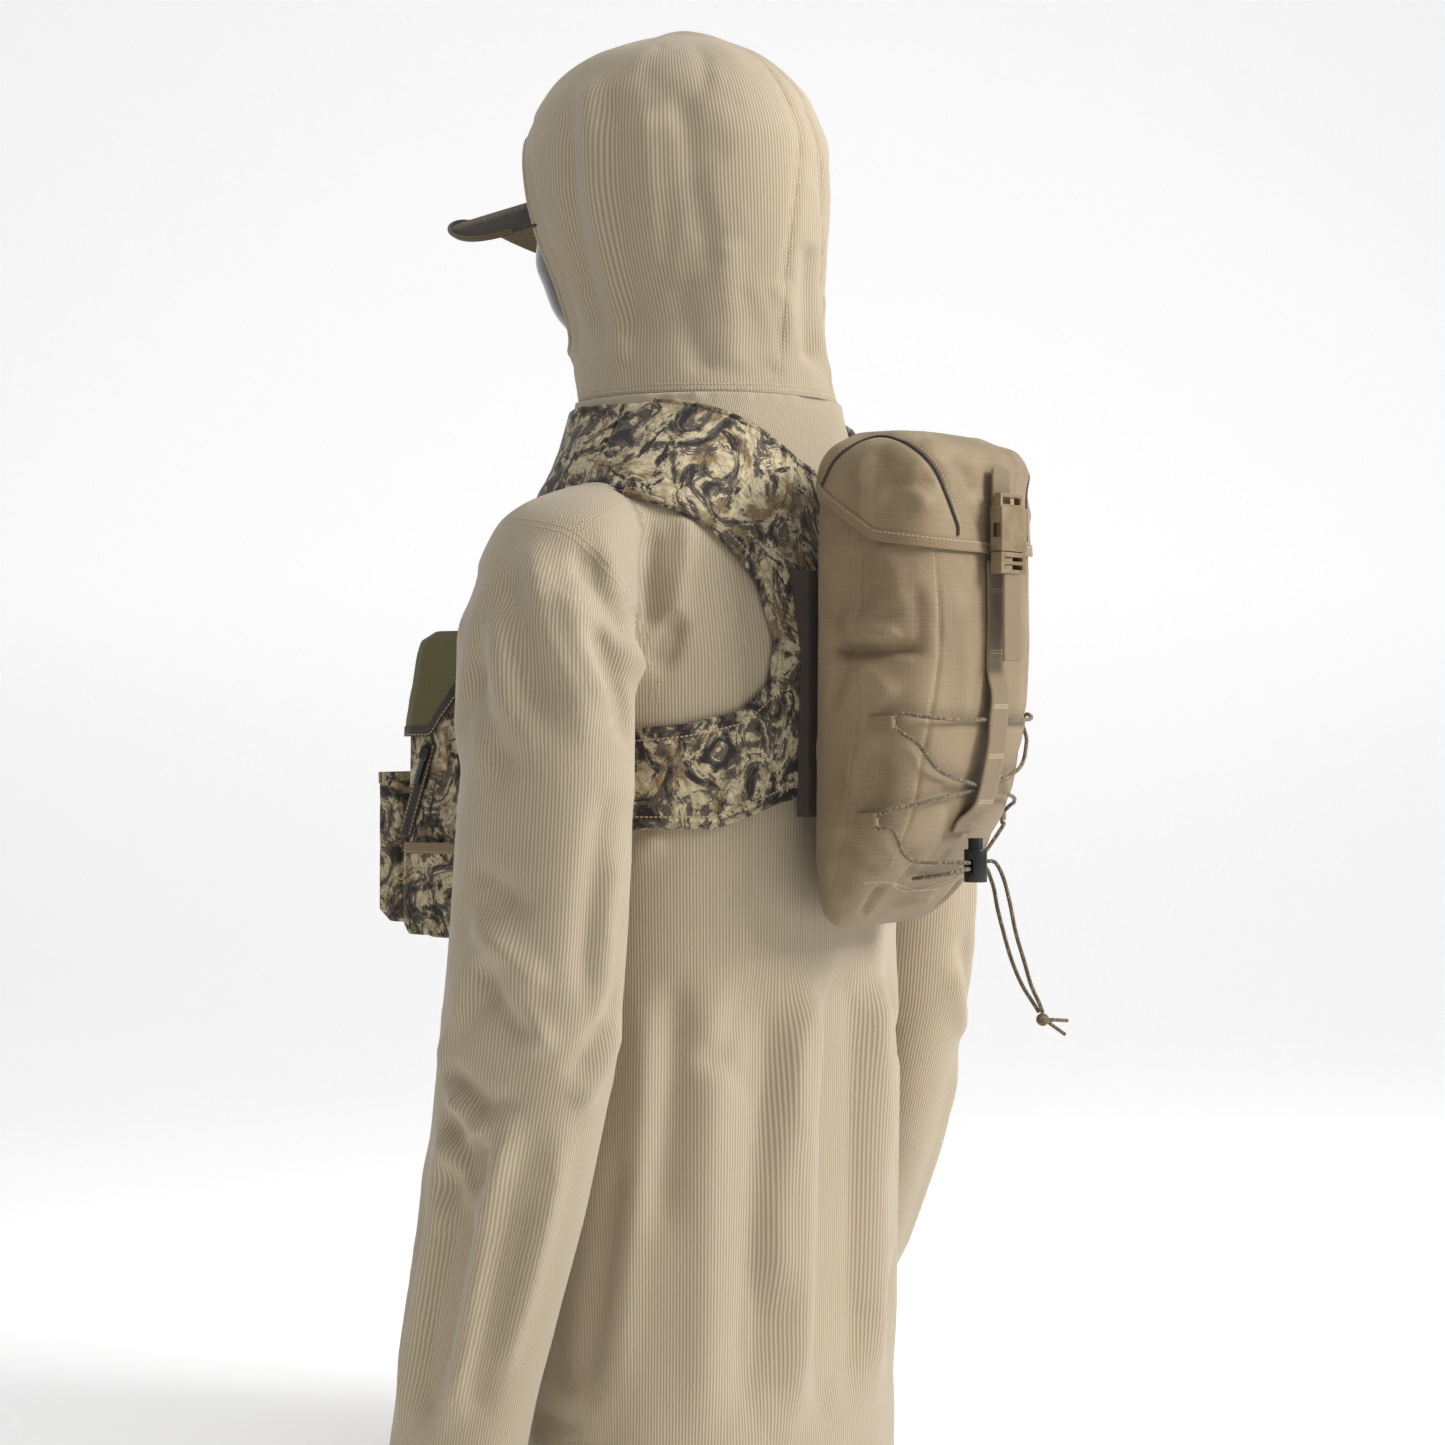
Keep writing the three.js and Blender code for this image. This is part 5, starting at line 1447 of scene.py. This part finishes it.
def pack_row(z, wide, inset, deep):
    y = PACK_BACK + (inset + deep * PACK_DEPTH) / 2
    return (z, 0, y, wide * PACK_WIDTH / 2, (deep * PACK_DEPTH - inset) / 2)


pack_rows = [pack_row(PACK_FLOOR + up * PACK_HEIGHT, *rest) for up, *rest in PACK_SHAPE]
pack_sections = Sections(pack_rows, 3.4, 4)
lid_rows = [row for row in pack_rows if row[0] > PACK_RIM - 120]
lid_rows += [pack_row(PACK_RIM + rise, *rest) for rise, *rest in LID_DOME]
lid_sections = Sections(lid_rows, 3.3, 4)
PACK_AROUND = 260
levels = np.linspace(PACK_FLOOR, PACK_RIM, 150)
walls = rings(pack_sections, levels, -0.4, PACK_AROUND)
pack_grid = np.vstack([closing(walls[0], (0.04, 0.3, 0.55, 0.8), 0), walls])
pack = grid_object("pack_cloth_body", pack_grid, wrap=True, attributes=weave_attributes(pack_grid))
pack_tree = surface_tree(pack)
PACK_PANEL_SEAM = [(161, 730), (165, 658), (158, 600), (152, 570), (147, 538), (133, 494)]
PACK_BASE_SEAM = [(112, 486), (130, 486), (157, 478), (183, 482), (194, 500)]
PACK_FOLDS = [
    (-6, 5, [(70, 661), (94, 651), (136, 651), (157, 649)]),
    (4.5, 8, [(92, 674), (116, 664), (140, 658)]),
    (3.5, 8, [(104, 642), (120, 630), (134, 612)]),
    (-3.5, 6, [(84, 668), (97, 646), (86, 604)]),
    (-2.5, 8, [(100, 726), (112, 700), (110, 672)]),
    (2.5, 9, [(120, 730), (132, 704), (134, 676)]),
    (-2, 7, [(146, 700), (150, 668), (146, 640)]),
    (-2.4, 8, [(118, 590), (122, 560), (116, 530)]),
    (2.2, 8, [(104, 586), (102, 556), (98, 530)]),
    (-3, 6, [(92, 522), (112, 498), (127, 492)]),
    (2.6, 7, [(84, 508), (90, 480), (98, 462)]),
    (-3.2, 5, [(113, 457), (120, 472), (128, 484)]),
    (2, 6, [(134, 470), (150, 466), (166, 470)]),
    (-1.3, 2.0, PACK_PANEL_SEAM),
    (-1.2, 1.8, PACK_BASE_SEAM),
    (2, 10, [(178, 700), (184, 640), (180, 590)]),
    (-2, 8, [(172, 560), (176, 530), (170, 506)]),
]
points = coordinates(pack)
under_lid = 1 - 0.9 * smoothstep(points[:, 2], PACK_RIM - 56, PACK_RIM - 30)
middle = 1 - 0.85 * bump(points[:, 0], 0, 16) * (points[:, 1] > PACK_BACK + 60)
apply_folds(pack, PACK_FOLDS, pack_tree, 1.5 * under_lid * middle)
add_creases(pack, 60, (20, 70), (0.3, 1.1), (4, 9), 0.5, 41, under_lid * middle)
add_creases(pack, 60, (8, 26), (0.15, 0.45), (2.5, 4.5), 0.5, 42, under_lid)


# ---------- lacing ----------
UPPER_LOOP = PACK_FLOOR + 0.466 * PACK_HEIGHT
LOWER_LOOP = PACK_FLOOR + 0.25 * PACK_HEIGHT
LOOP_TURN = 16
TURN_RADIUS = 6
LOOP_OUT = 7.5
LOCK_LEVEL = LOCK[2]
LACE_REST = CORD / 2 + 1.7


def loop_bend(level, left, up):
    """The lace's turn through a loop, on the left or the right, going up or down."""
    stops = [(-TURN_RADIUS, 22, LOOP_OUT - 1), (0, LOOP_TURN, LOOP_OUT), (TURN_RADIUS, 22, LOOP_OUT - 1)]
    return [(level + z, turn if left else 180 - turn, out) for z, turn, out in stops[:: 1 if up else -1]]


LACE_STOPS = [  # height, turn and how far out from the pouch
    (LOCK_LEVEL + 6, 64, 6),
    (LOWER_LOOP - TURN_RADIUS - 2, 36, LACE_REST + 0.6),
    *loop_bend(LOWER_LOOP, left=True, up=True),
    (LOWER_LOOP + 10, 42, LACE_REST + 0.2),
    (LOWER_LOOP + 15, 68, LACE_REST),
    (LOWER_LOOP + 22, 90, LACE_REST),
    (LOWER_LOOP + 34, 116, LACE_REST),
    (UPPER_LOOP - 16, 140, LACE_REST + 0.2),
    *loop_bend(UPPER_LOOP, left=False, up=True),
    (UPPER_LOOP + 4, 138, LACE_REST + 0.2),
    *((UPPER_LOOP + 2, turn, LACE_REST) for turn in (112, 90, 68)),
    (UPPER_LOOP + 4, 42, LACE_REST + 0.2),
    *loop_bend(UPPER_LOOP, left=True, up=False),
    (UPPER_LOOP - 16, 40, LACE_REST + 0.2),
    (LOWER_LOOP + 34, 64, LACE_REST + 0.6),
    (LOWER_LOOP + 22, 90, 6.2),
    (LOWER_LOOP + 15, 112, LACE_REST + 0.6),
    (LOWER_LOOP + 10, 138, LACE_REST + 0.2),
    *loop_bend(LOWER_LOOP, left=False, up=False),
    (LOWER_LOOP - TURN_RADIUS - 4, 142, LACE_REST + 0.6),
    (LOCK_LEVEL - 2, 112, LACE_REST + 0.2),
    (LOCK_LEVEL - 8, 92, LACE_REST + 0.2),
    (LOCK_LEVEL - 9, 78, 5),
]
lace_stops = [
    LOCK + [LOCK_RADIUS + GAP, 0, 2.2],
    LOCK + [20, -2, 3],
    *(pack_sections.point(turn, z, out) for z, turn, out in LACE_STOPS),
    LOCK + [30, -7, -5],
    LOCK + [19, -1, -2.6],
    LOCK + [LOCK_RADIUS + GAP, 0, -2.2],
]
LACE_PULL = 1.7  # how far the lace draws the cloth in
lace_line = curve_points(lace_stops, 520)
points, normals = coordinates(pack), normals_of(pack)
LACED_LOW, LACED_HIGH = 480, 615
near = np.where((points[:, 2] > LACED_LOW) & (points[:, 2] < LACED_HIGH))[0]
pull = np.zeros(len(points))
for chunk in np.array_split(near, 6):
    gaps = np.linalg.norm(points[chunk][:, None] - lace_line[None, 20:-20], axis=2)
    pull[chunk] = bump(gaps.min(axis=1), 1.5, 5.5)
push_out(pack, points, normals, -LACE_PULL * pull)
subdivide(pack)
pack_skin = surface_tree(pack)
thicken(pack, 1.6)
place(pack, PACK_CLOTH, replaces=("pack_body",))


def settle(line, tree, radius):
    """The line pushed out of a surface where it would sink in."""
    out = []
    for point in line:
        location, normal, _, _ = tree.find_nearest(Vector(point * MM))
        location, normal = np.array(location) / MM, np.array(normal)
        height = float((point - location) @ normal)
        out.append(point + normal * max(0, radius - height))
    return np.array(out)


lace_line = settle(lace_line, pack_skin, CORD / 2 + 0.1)
lace = cord_object("bungee_lace", lace_line, CORD)
place(lace, BUNGEE, replaces=("bungee_lacing",))


def lace_loop(name, level, side, node):
    """A tab of tape folded over the lace, sewn to the pouch's side."""
    turn = LOOP_TURN if side > 0 else 180 - LOOP_TURN
    centre = pack_sections.point(turn, level, LOOP_OUT)
    root = pack_sections.point(4 if side > 0 else 176, level, 0.4)
    way = unit(centre - root)
    reach = float(np.linalg.norm(centre - root))
    aside = np.cross([0, 0, 1.0], way)
    path = []
    for along, away in ((-4, 2.0), (0, 2.1), (reach * 0.5, 2.2), (reach, 2.4)):
        path.append(root + way * along + aside * away)
    for step in range(1, 8):
        angle = math.pi * step / 8
        path.append(root + way * (reach + 2.4 * math.sin(angle)) + aside * 2.4 * math.cos(angle))
    for along, away in ((reach, -2.4), (reach * 0.5, -1.6), (0, -1.2), (-4, -1.0)):
        path.append(root + way * along + aside * away)
    line = curve_points(np.array(path), 60)
    ways = unit(np.gradient(line, axis=0))
    tape_object(name, line, np.cross(ways, [0, 0, 1.0]), 9, 0.9, BINDING, "webbing", replaces=(node,))


for side, label in SIDES:
    for name, level in (("upper", UPPER_LOOP), ("lower", LOWER_LOOP)):
        lace_loop(f"loop_{name}_{label}", level, side, f"lace_loop_{name}_{label}")

# Seams of the back pouch.
for stops, offset in ((PACK_PANEL_SEAM, 2.4), (PACK_BASE_SEAM, 2.2)):
    seam = seen_line(pack_skin, stops, 1.5)
    for side in (1, -1):
        line, out = on_surface(pack_skin, seam * [side, 1, 1])
        line = beside(line, out, -offset * side)
        line, out = on_surface(pack_skin, line)
        stitches(f"pack_seam_{offset}_{side}", [line], [out], THREAD, "pack_cloth", pitch=3.2, length=2.3)

# ---------- back pouch lid ----------
LID_LOW_EDGE = PACK_RIM - 50
LID_OUT = 2.4  # how far the lid's cloth stands out from the pouch's shape


def lid_edge(y):
    """Height of the lid's lower edge at a depth: low in front, high beside the wearer."""
    reach = [PACK_BACK - 4, PACK_BACK + 10, PACK_BACK + 24, PACK_BACK + 70, PACK_BACK + PACK_DEPTH + 4]
    height = [PACK_RIM + 6, PACK_RIM + 1, PACK_RIM - 10, LID_LOW_EDGE + 9, LID_LOW_EDGE + 1]
    return np.interp(y, reach, height)


skirt_levels = np.linspace(LID_LOW_EDGE - 2, PACK_RIM + 10, 40)
skirt = rings(lid_sections, skirt_levels, LID_OUT, PACK_AROUND)
edge_height = lid_edge(skirt[-1][:, 1])
rows = []
for share in np.linspace(0, 1, 34):
    z = edge_height + (skirt_levels[-1] - edge_height) * share
    x = [np.interp(z[j], skirt_levels, skirt[:, j, 0]) for j in range(PACK_AROUND)]
    y = [np.interp(z[j], skirt_levels, skirt[:, j, 1]) for j in range(PACK_AROUND)]
    rows.append(np.stack([x, y, z], axis=1))
dome_z = lid_sections.z[lid_sections.z > PACK_RIM + 10]
_, _, dome_a, _ = lid_sections.at(dome_z)
dome_way = np.r_[0, np.cumsum(np.hypot(np.diff(dome_z), np.diff(dome_a)))]
dome_levels = np.interp(np.linspace(0, dome_way[-1], 24)[1:], dome_way, dome_z)
dome = rings(lid_sections, dome_levels, LID_OUT, PACK_AROUND)
lid_grid = np.vstack([np.array(rows), dome, closing(dome[-1], (0.8, 0.55, 0.3, 0.04), 1.6)])
lid = grid_object("pack_cloth_lid", lid_grid, wrap=True, attributes=weave_attributes(lid_grid))
lid_tree = surface_tree(lid)
LID_PIPING = [(83, 770), (92, 788), (108, 801), (127, 805), (146, 795), (164, 775), (177, 742), (178, 732)]
LID_FOLDS = [
    (-2.6, 6, [(118, 795), (130, 774), (163, 764)]),
    (2.2, 8, [(104, 786), (116, 764), (128, 752)]),
    (-1.8, 7, [(92, 776), (108, 768), (126, 766)]),
    (2, 8, [(140, 780), (150, 760), (156, 744)]),
    (-1.4, 3.5, LID_PIPING),
    (-2, 8, [(170, 790), (184, 776), (192, 756)]),
    (1.5, 10, [(150, 800), (170, 796), (186, 786)]),
]
apply_folds(lid, LID_FOLDS, lid_tree, 1.5)
add_creases(lid, 40, (18, 60), (0.3, 1.0), (4, 8), 0.9, 51)
subdivide(lid)
lid_skin = surface_tree(lid)
thicken(lid, 1.3)
place(lid, PACK_CLOTH, "back_lid", ("pack_lid",))


def lid_stitches(name, line, out, pitch, length):
    stitches(name, [line], [out], THREAD, "pack_cloth", "back_lid", pitch=pitch, length=length)


for side, label in SIDES:
    seam = seen_line(lid_tree, LID_PIPING, 2.0) * [side, 1, 1]
    line, out = on_surface(lid_skin, seam, 0.5)
    piping = cord_object(f"lid_piping_{label}", line, 2.6)
    place(piping, DARK_BINDING, "back_lid")
    row = on_surface(lid_skin, beside(line, out, 3.0 * side))
    lid_stitches(f"lid_piping_stitches_{label}", *row, 3.2, 2.2)
rim_line = lid_grid[0]
front = rim_line[:, 1] > PACK_BACK + 14
order = np.argsort(np.unwrap(np.arctan2(rim_line[front][:, 1] - PACK_BACK - 10, rim_line[front][:, 0])))
rim_line = even_points(rim_line[front][order], 2.0)
rim_line, out = on_surface(lid_skin, rim_line + [0, 0, 3.2], 0.5)
tape_object("lid_binding", rim_line, out, 8.5, 0.9, BINDING, "pack_cloth", "back_lid")
lid_stitches("lid_binding_stitches", *on_surface(lid_skin, rim_line + [0, 0, 2.6], 0.95), 3.4, 2.3)

# ---------- back pouch webbing, buckle and lock ----------
WEB_WIDTH = 25
WEB_THICKNESS = 1.8
# Share of the pouch's height, and how far out from its back.
WEB_STOPS = [
    *((0.83, 1.7), (0.71, 1.7), (0.59, 1.7), (0.53, 6.5), (0.469, 6.5)),
    *((0.4, 9.3), (0.2875, 9.3), (0.245, 2.1), (0.215, 2.1)),
]
web_line = []
for up, out in WEB_STOPS:
    z = PACK_FLOOR + up * PACK_HEIGHT
    _, y, _, b = pack_sections.at(z)
    web_line.append((0, y + b + out, z))
web_line = even_points(curve_points(np.array(web_line), 200), 2)
web_out = np.cross(unit(np.gradient(web_line, axis=0)), [-1.0, 0, 0])
WEB = (WEB_WIDTH, WEB_THICKNESS, WEBBING, "webbing")
tape_object("pack_daisy_webbing", web_line, web_out, *WEB, replaces=("pack_webbing",))
tack_lines, tack_out = [], []
for share in (0.1, 0.31, 0.5, 0.68, 0.84):
    index = int(share * len(web_line))
    for shift in (0, 1):
        centre = web_line[index + shift] + web_out[index] * 0.9
        tack_lines.append(centre + np.linspace(-11, 11, 12)[:, None] * [1, 0, 0])
        tack_out.append(np.repeat(web_out[index][None], 12, 0))
stitches("webbing_bar_tacks", tack_lines, tack_out, THREAD, "webbing", pitch=1.9, length=1.5, width=0.8)


def straight_tape(node, body):
    low, high = node_box(node)
    middle = (low[1] + high[1]) / 2
    line = np.linspace([0, middle, high[2]], [0, middle, low[2]], 40)
    normals = np.repeat([[0, 1.0, 0]], 40, 0)
    return tape_object(f"{node}_tape", line, normals, *WEB, body, (node,))


straight_tape("pack_lid_webbing", "back_lid")
straight_tape("pack_strap_tail", "buckle_insert")
hard_copy("buckle_female", BUCKLE, "back_lid", 1.2, 3)
hard_copy("buckle_male", BUCKLE, "buckle_insert", 0.9, 3)
hard_copy("cord_lock_barrel", LOCK_PLASTIC, ROOT, 0.7, 3)
hard_copy("cord_lock_plunger", LOCK_PLASTIC, "lock_button", 0.6, 3)
# The mount straps take the dark tape colour: partly the straps' own and partly painted shadow for the gap
# between the pouch and the harness.
for label in ("left", "right"):
    hard_copy(f"pack_mount_strap_{label}", DARK_BINDING, ROOT, 0.6, 2, True)
knot = soft_copy("bungee_knot", "knot_cord", 0.5, 2)
place(knot, BUNGEE, replaces=("bungee_knot",))
for tail_name, (tail, tail_points) in tails.items():
    place(tail, BUNGEE, replaces=(f"bungee_tail_{tail_name}",))


# ---------- chest pouch ----------
POUCH_BACK = POUCH_HIGH[1]
POUCH_RIM = POUCH_HIGH[2]
POUCH_FLOOR = POUCH_LOW[2]
POUCH_FACE = POUCH_LOW[1]
POUCH_HALF = POUCH_HIGH[0]


def soft_piece(node, name, voxel, smoothing, material, body=ROOT, creases=(30, 0.8), seed=60):
    """A sewn cloth part, soft and creased, with its weave laid along it; creases: how many, how high."""
    piece = soft_copy(node, name, voxel, smoothing)
    count, height = creases
    add_creases(piece, count, (14, 60), (0.25 * height, height), (4, 9), 0.8, seed)
    lay_weave(piece)
    return place(piece, material, body, (node,))


soft_piece("pouch_body", "pouch_cloth_body", 1.5, 6, CAMO, creases=(60, 1.2), seed=61)
pouch_lid = soft_piece(
    "pouch_lid", "pouch_cloth_lid", 1.2, 5, OLIVE_CLOTH, "chest_lid", (40, 0.7), 62
)
front_pocket = soft_piece("pouch_front_pocket", "pouch_cloth_front_pocket", 1.2, 4, CAMO, seed=63)
pouch_lid_tree = surface_tree(pouch_lid)
pocket_tree = surface_tree(front_pocket)


BAND_THICKNESS = 0.9


def band(name, tree, stops, width, material, slot, body=ROOT):
    """Tape sewn flat on a surface, along points near it."""
    line, normals = on_surface(tree, even_points(np.asarray(stops, float), 2.0), BAND_THICKNESS / 2)
    tape_object(name, line, normals, width, BAND_THICKNESS, material, slot, body)
    row = beside(line, normals, width * 0.3) + normals * BAND_THICKNESS / 2
    stitches(f"{name}_stitches", [row], [normals], THREAD, slot, body, pitch=3.4, length=2.3)


pocket_low, pocket_high = node_box("pouch_front_pocket")
pocket_mid_y = (pocket_low[1] + POUCH_FACE) / 2
pocket_turns = np.radians(np.linspace(188, 352, 120))
pocket_ring = [
    (
        pocket_high[0] * np.sign(np.cos(t)) * abs(np.cos(t)) ** 0.5,
        pocket_mid_y - (pocket_mid_y - pocket_low[1]) * abs(np.sin(t)) ** 0.5,
        pocket_high[2] - 5,
    )
    for t in pocket_turns
]
band("front_pocket_binding", pocket_tree, pocket_ring, 9, BINDING, "webbing")
middle_strip = [(0, pocket_low[1], z) for z in np.linspace(pocket_high[2] - 12, pocket_low[2] + 14, 20)]
band("front_pocket_strip", pocket_tree, middle_strip, 20, WEBBING, "webbing")
for side, label in SIDES:
    node = f"pouch_side_pocket_{label}"
    name = f"pouch_cloth_side_pocket_{label}"
    side_pocket = soft_piece(node, name, 1.0, 3, CAMO, creases=(12, 0.6))
    low, high = node_box(node)
    side_tree = surface_tree(side_pocket)
    face_x = high[0] if side > 0 else low[0]
    root_x = low[0] if side > 0 else high[0]
    edge = [(root_x + side * 4, high[1], high[2] - 4.5)]
    edge += [(face_x, y, high[2] - 4.5) for y in np.linspace(high[1] - 5, low[1] + 5, 30)]
    edge += [(root_x + side * 4, low[1], high[2] - 4.5)]
    band(f"side_pocket_binding_{label}", side_tree, edge, 8.5, BINDING, "webbing")

# The lid's dark binding and its two pull tabs.
lid_low, lid_high = node_box("pouch_lid")
lid_path = []
for share in np.linspace(0, 1, 50):
    y = POUCH_BACK - 16 - 46 * min(1, share / 0.6)  # the lid's flat part, then its drop
    lid_path.append((lid_high[0], y - 40 * max(0, share - 0.6) / 0.4, 0))
lid_heights = np.interp(
    [-p[1] for p in lid_path], [16 - POUCH_BACK, 62 - POUCH_BACK], [POUCH_RIM - 2, lid_low[2] + 4]
)
half_edge = [(x, y, z) for (x, y, _), z in zip(lid_path, lid_heights)]
front_edge = [(x, lid_low[1], lid_low[2] + 4) for x in np.linspace(lid_high[0] - 6, -lid_high[0] + 6, 60)]
whole_edge = half_edge + front_edge + [(-x, y, z) for x, y, z in half_edge[::-1]]
band("pouch_lid_binding", pouch_lid_tree, whole_edge, 8, DARK_BINDING, "olive_cloth", "chest_lid")
for side, label in SIDES[::-1]:
    tab = [(48 * side, lid_low[1], z) for z in np.linspace(lid_low[2] + 34, lid_low[2] + 7, 14)]
    band(f"pouch_lid_tab_{label}", pouch_lid_tree, tab, 20, WEBBING, "webbing", "chest_lid")

# Zips: two tapes, a row of teeth, and the slider that runs on them.
ZIP_TOP = np.array([POUCH_BACK - 62, lid_low[2] - 5])
ZIP_END = np.array([POUCH_BACK - 88, POUCH_FLOOR + 80])
for side, label in SIDES:
    steps = np.linspace(0, 1, 60)[:, None]
    flat = ZIP_TOP + (ZIP_END - ZIP_TOP) * steps
    zip_x = side * (POUCH_HALF + 0.9)
    line = np.column_stack([np.full(60, zip_x), flat])
    out = np.repeat([[side * 1.0, 0, 0]], 60, 0)
    zip_node = (f"pouch_zip_{label}",)
    tape_object(f"zip_tape_{label}", line, out, 12, 1.5, DARK_BINDING, "pack_cloth", replaces=zip_node)
    teeth = {"pitch": 1.9, "length": 1.1, "width": 1.7, "proud": 0.3}
    stitches(f"zip_teeth_{label}", [line + out * 0.7], [out], LOCK_PLASTIC, "lock", **teeth)
    for away in (-4.4, 4.4):
        row = beside(line, out, away) + out * 0.75
        stitches(f"zip_stitches_{label}_{away}", [row], [out], THREAD, "pack_cloth")
    hard_copy(f"zip_slider_{label}", LOCK_PLASTIC, f"{label}_slider", 0.4, 2)

panel = soft_copy("pouch_back_panel", "pouch_back_padding", 1.6, 4)
add_creases(panel, 24, (20, 60), (0.3, 0.8), (5, 9), 0.5, 66)
place(panel, CAMO, replaces=("pouch_back_panel",))

# ---------- harness webbing ----------
SHIRT_GAP = 1.9  # the tapes' middle from the shirt
side_low, side_high = node_box("side_webbing_left")
front_low, front_high = node_box("front_webbing_left")
level = (side_low[2] + side_high[2]) / 2
side_ends = [float(shirt_sections.turn_at(x, level, False)) for x in (side_low[0], side_high[0] - 2.4)]
front_heights = np.linspace(front_high[2], front_low[2], 30)
front_x = (front_low[0] + front_high[0]) / 2
front_turns = np.array([float(shirt_sections.turn_at(front_x, z, False)) for z in front_heights])
WEBBING_ROUTES = {
    "side": shirt_sections.point(np.linspace(*side_ends, 60), np.full(60, level), SHIRT_GAP),
    "front": shirt_sections.point(front_turns, front_heights, SHIRT_GAP),
}
for side, label in SIDES:
    for name, line in WEBBING_ROUTES.items():
        mirror, node = [side, 1, 1], f"{name}_webbing_{label}"
        tape = (f"{name}_webbing_tape_{label}", line * mirror, surface_normals(line) * mirror)
        tape_object(*tape, WEB_WIDTH, 2.0, WEBBING, "webbing", replaces=(node,))
    hard_copy(f"ladder_lock_{label}", BUCKLE, ROOT, 0.6, 2)

# ---------- seams of the shirt, hood and harness ----------
SHOULDER_SEAM = [(-16, 792), (-40, 776), (-68, 754), (-93, 731)]
ARMHOLE_SEAM = [(-143, 744), (-113, 738), (-93, 730), (-70, 708), (-49, 672), (-38, 640), (-38, 612)]


SHIRT_STITCH = {"pitch": 3.0, "length": 2.4, "width": 0.6, "proud": 0.3}


def sewn_seam(name, tree, guide_tree, stops, gap):
    """Two rows of stitches along a seam given as it is seen, and its mirror image."""
    guide = seen_line(guide_tree, stops, 1.5)
    lines, outs = [], []
    for side in (1, -1):
        line, out = on_surface(tree, guide * [side, 1, 1])
        for away in (-gap, gap):
            row, row_out = on_surface(tree, beside(line, out, away), 0.05)
            lines.append(row)
            outs.append(row_out)
    stitches(name, lines, outs, SHIRT_THREAD, "shirt", **SHIRT_STITCH)


sewn_seam("shoulder_seams", shirt_skin, shirt_tree, SHOULDER_SEAM, 2.6)
sewn_seam("armhole_seams", shirt_skin, shirt_tree, ARMHOLE_SEAM, 2.4)
sewn_seam("hood_panel_seams", hood_skin, hood_tree, HOOD_FOLDS[0][2], 2.6)
neck_lines, neck_outs = [], []
neck_ring = shirt_sections.point(np.linspace(0, 360, 260), np.full(260, NECK))
for rise in (3.5, 7.5):
    line, out = on_surface(hood_skin, neck_ring * [1, 1, 0] + [0, 0, NECK + rise])
    neck_lines.append(line)
    neck_outs.append(out)
stitches("neck_seam", neck_lines, neck_outs, SHIRT_THREAD, "shirt", **SHIRT_STITCH)
back_tree = surface_tree(HARNESS_BACK)
sewn, sewn_out = [], []
for name, side, line, normals in harness_edges:
    if name in ("outer", "lower", "neck"):
        row, out = on_surface(back_tree, beside(line, normals, 6.5 * side), 0.05)
        sewn.append(row)
        sewn_out.append(out)
stitches("harness_edge_stitches", sewn, sewn_out, THREAD, "camo", pitch=3.4, length=2.4)

# ---------- the form under the clothes, and the lock's spring ----------
for node in ("form_torso", "form_arm_left", "form_arm_right"):
    form = soft_copy(node, f"{node}_smooth", 3.5, 6)
    place(form, GLOSS_BLACK, replaces=(node,))

spring_low, spring_high = node_box("cord_lock_spring")
WIRE = 0.9
COILS = 3
turns = np.linspace(0, 2 * np.pi * COILS, 90)
coil = np.column_stack(
    [
        LOCK[0] + 4 * np.cos(turns),
        LOCK[1] + 4 * np.sin(turns),
        np.linspace(spring_low[2] + WIRE / 2, spring_high[2] - WIRE / 2, 90),
    ]
)
spring_curve = cord_object("lock_spring_curve", coil, WIRE)
graph = bpy.context.evaluated_depsgraph_get()
spring = linked("lock_spring", bpy.data.meshes.new_from_object(spring_curve.evaluated_get(graph)))
bpy.data.objects.remove(spring_curve)
place(spring, STEEL, replaces=("cord_lock_spring",))
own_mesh(spring)


# ---------- floor, backdrop and light ----------
def studio():
    """A floor that curves up into a backdrop behind the form, and stays open behind the camera."""
    floor_level, front, middle, back, arc, top, wide = -0.5, -4600, -1500, 3300, 900, 5200, 5200
    profile = [(y, floor_level) for y in (front, middle, back)]
    for step in range(1, 13):
        turn = math.radians(90 * step / 12)
        profile.append((back + arc * math.sin(turn), floor_level + arc * (1 - math.cos(turn))))
    profile.append((back + arc, top))
    points = np.array([[(side * wide, y, z) for side in (-1, 1)] for y, z in profile])
    sweep = grid_object("studio_sweep", points)
    sweep.rotation_euler = (0, 0, VIEW_TURN)
    paper = Nodes("studio_paper", roughness=0.95, specular=0.1)
    paper.colour((0.97, 0.97, 0.97))
    paper.shader.inputs["Emission Color"].default_value = (1, 1, 1, 1)
    paper.shader.inputs["Emission Strength"].default_value = 0.24
    sweep.data.materials.append(paper.material)


def area_light(name, turn, rise, distance, size, watts):
    """A square light aimed at the form: its turn from the camera, its rise, and how far off it is."""
    rise = math.radians(rise)
    light = bpy.data.lights.new(name, "AREA")
    light.size = size
    light.energy = watts
    lamp = linked(name, light)
    heading = VIEW_TURN + math.radians(turn)
    way = Vector((math.sin(heading) * math.cos(rise), -math.cos(heading) * math.cos(rise), math.sin(rise)))
    lamp.location = Vector((0, 0, 0.6)) + way * distance
    lamp.rotation_euler = way.to_track_quat("Z", "Y").to_euler()


studio()
area_light("key", 74, 30, 2.5, 0.9, 68)
area_light("fill", -60, 22, 2.8, 2.2, 4)
area_light("top", 20, 72, 2.6, 1.8, 22)
world = bpy.data.worlds.new("studio_air")
world.use_nodes = True
world.node_tree.nodes["Background"].inputs[0].default_value = (1, 1, 1, 1)
world.node_tree.nodes["Background"].inputs[1].default_value = 0.36
bpy.context.scene.world = world
bpy.context.scene.view_settings.view_transform = "Standard"
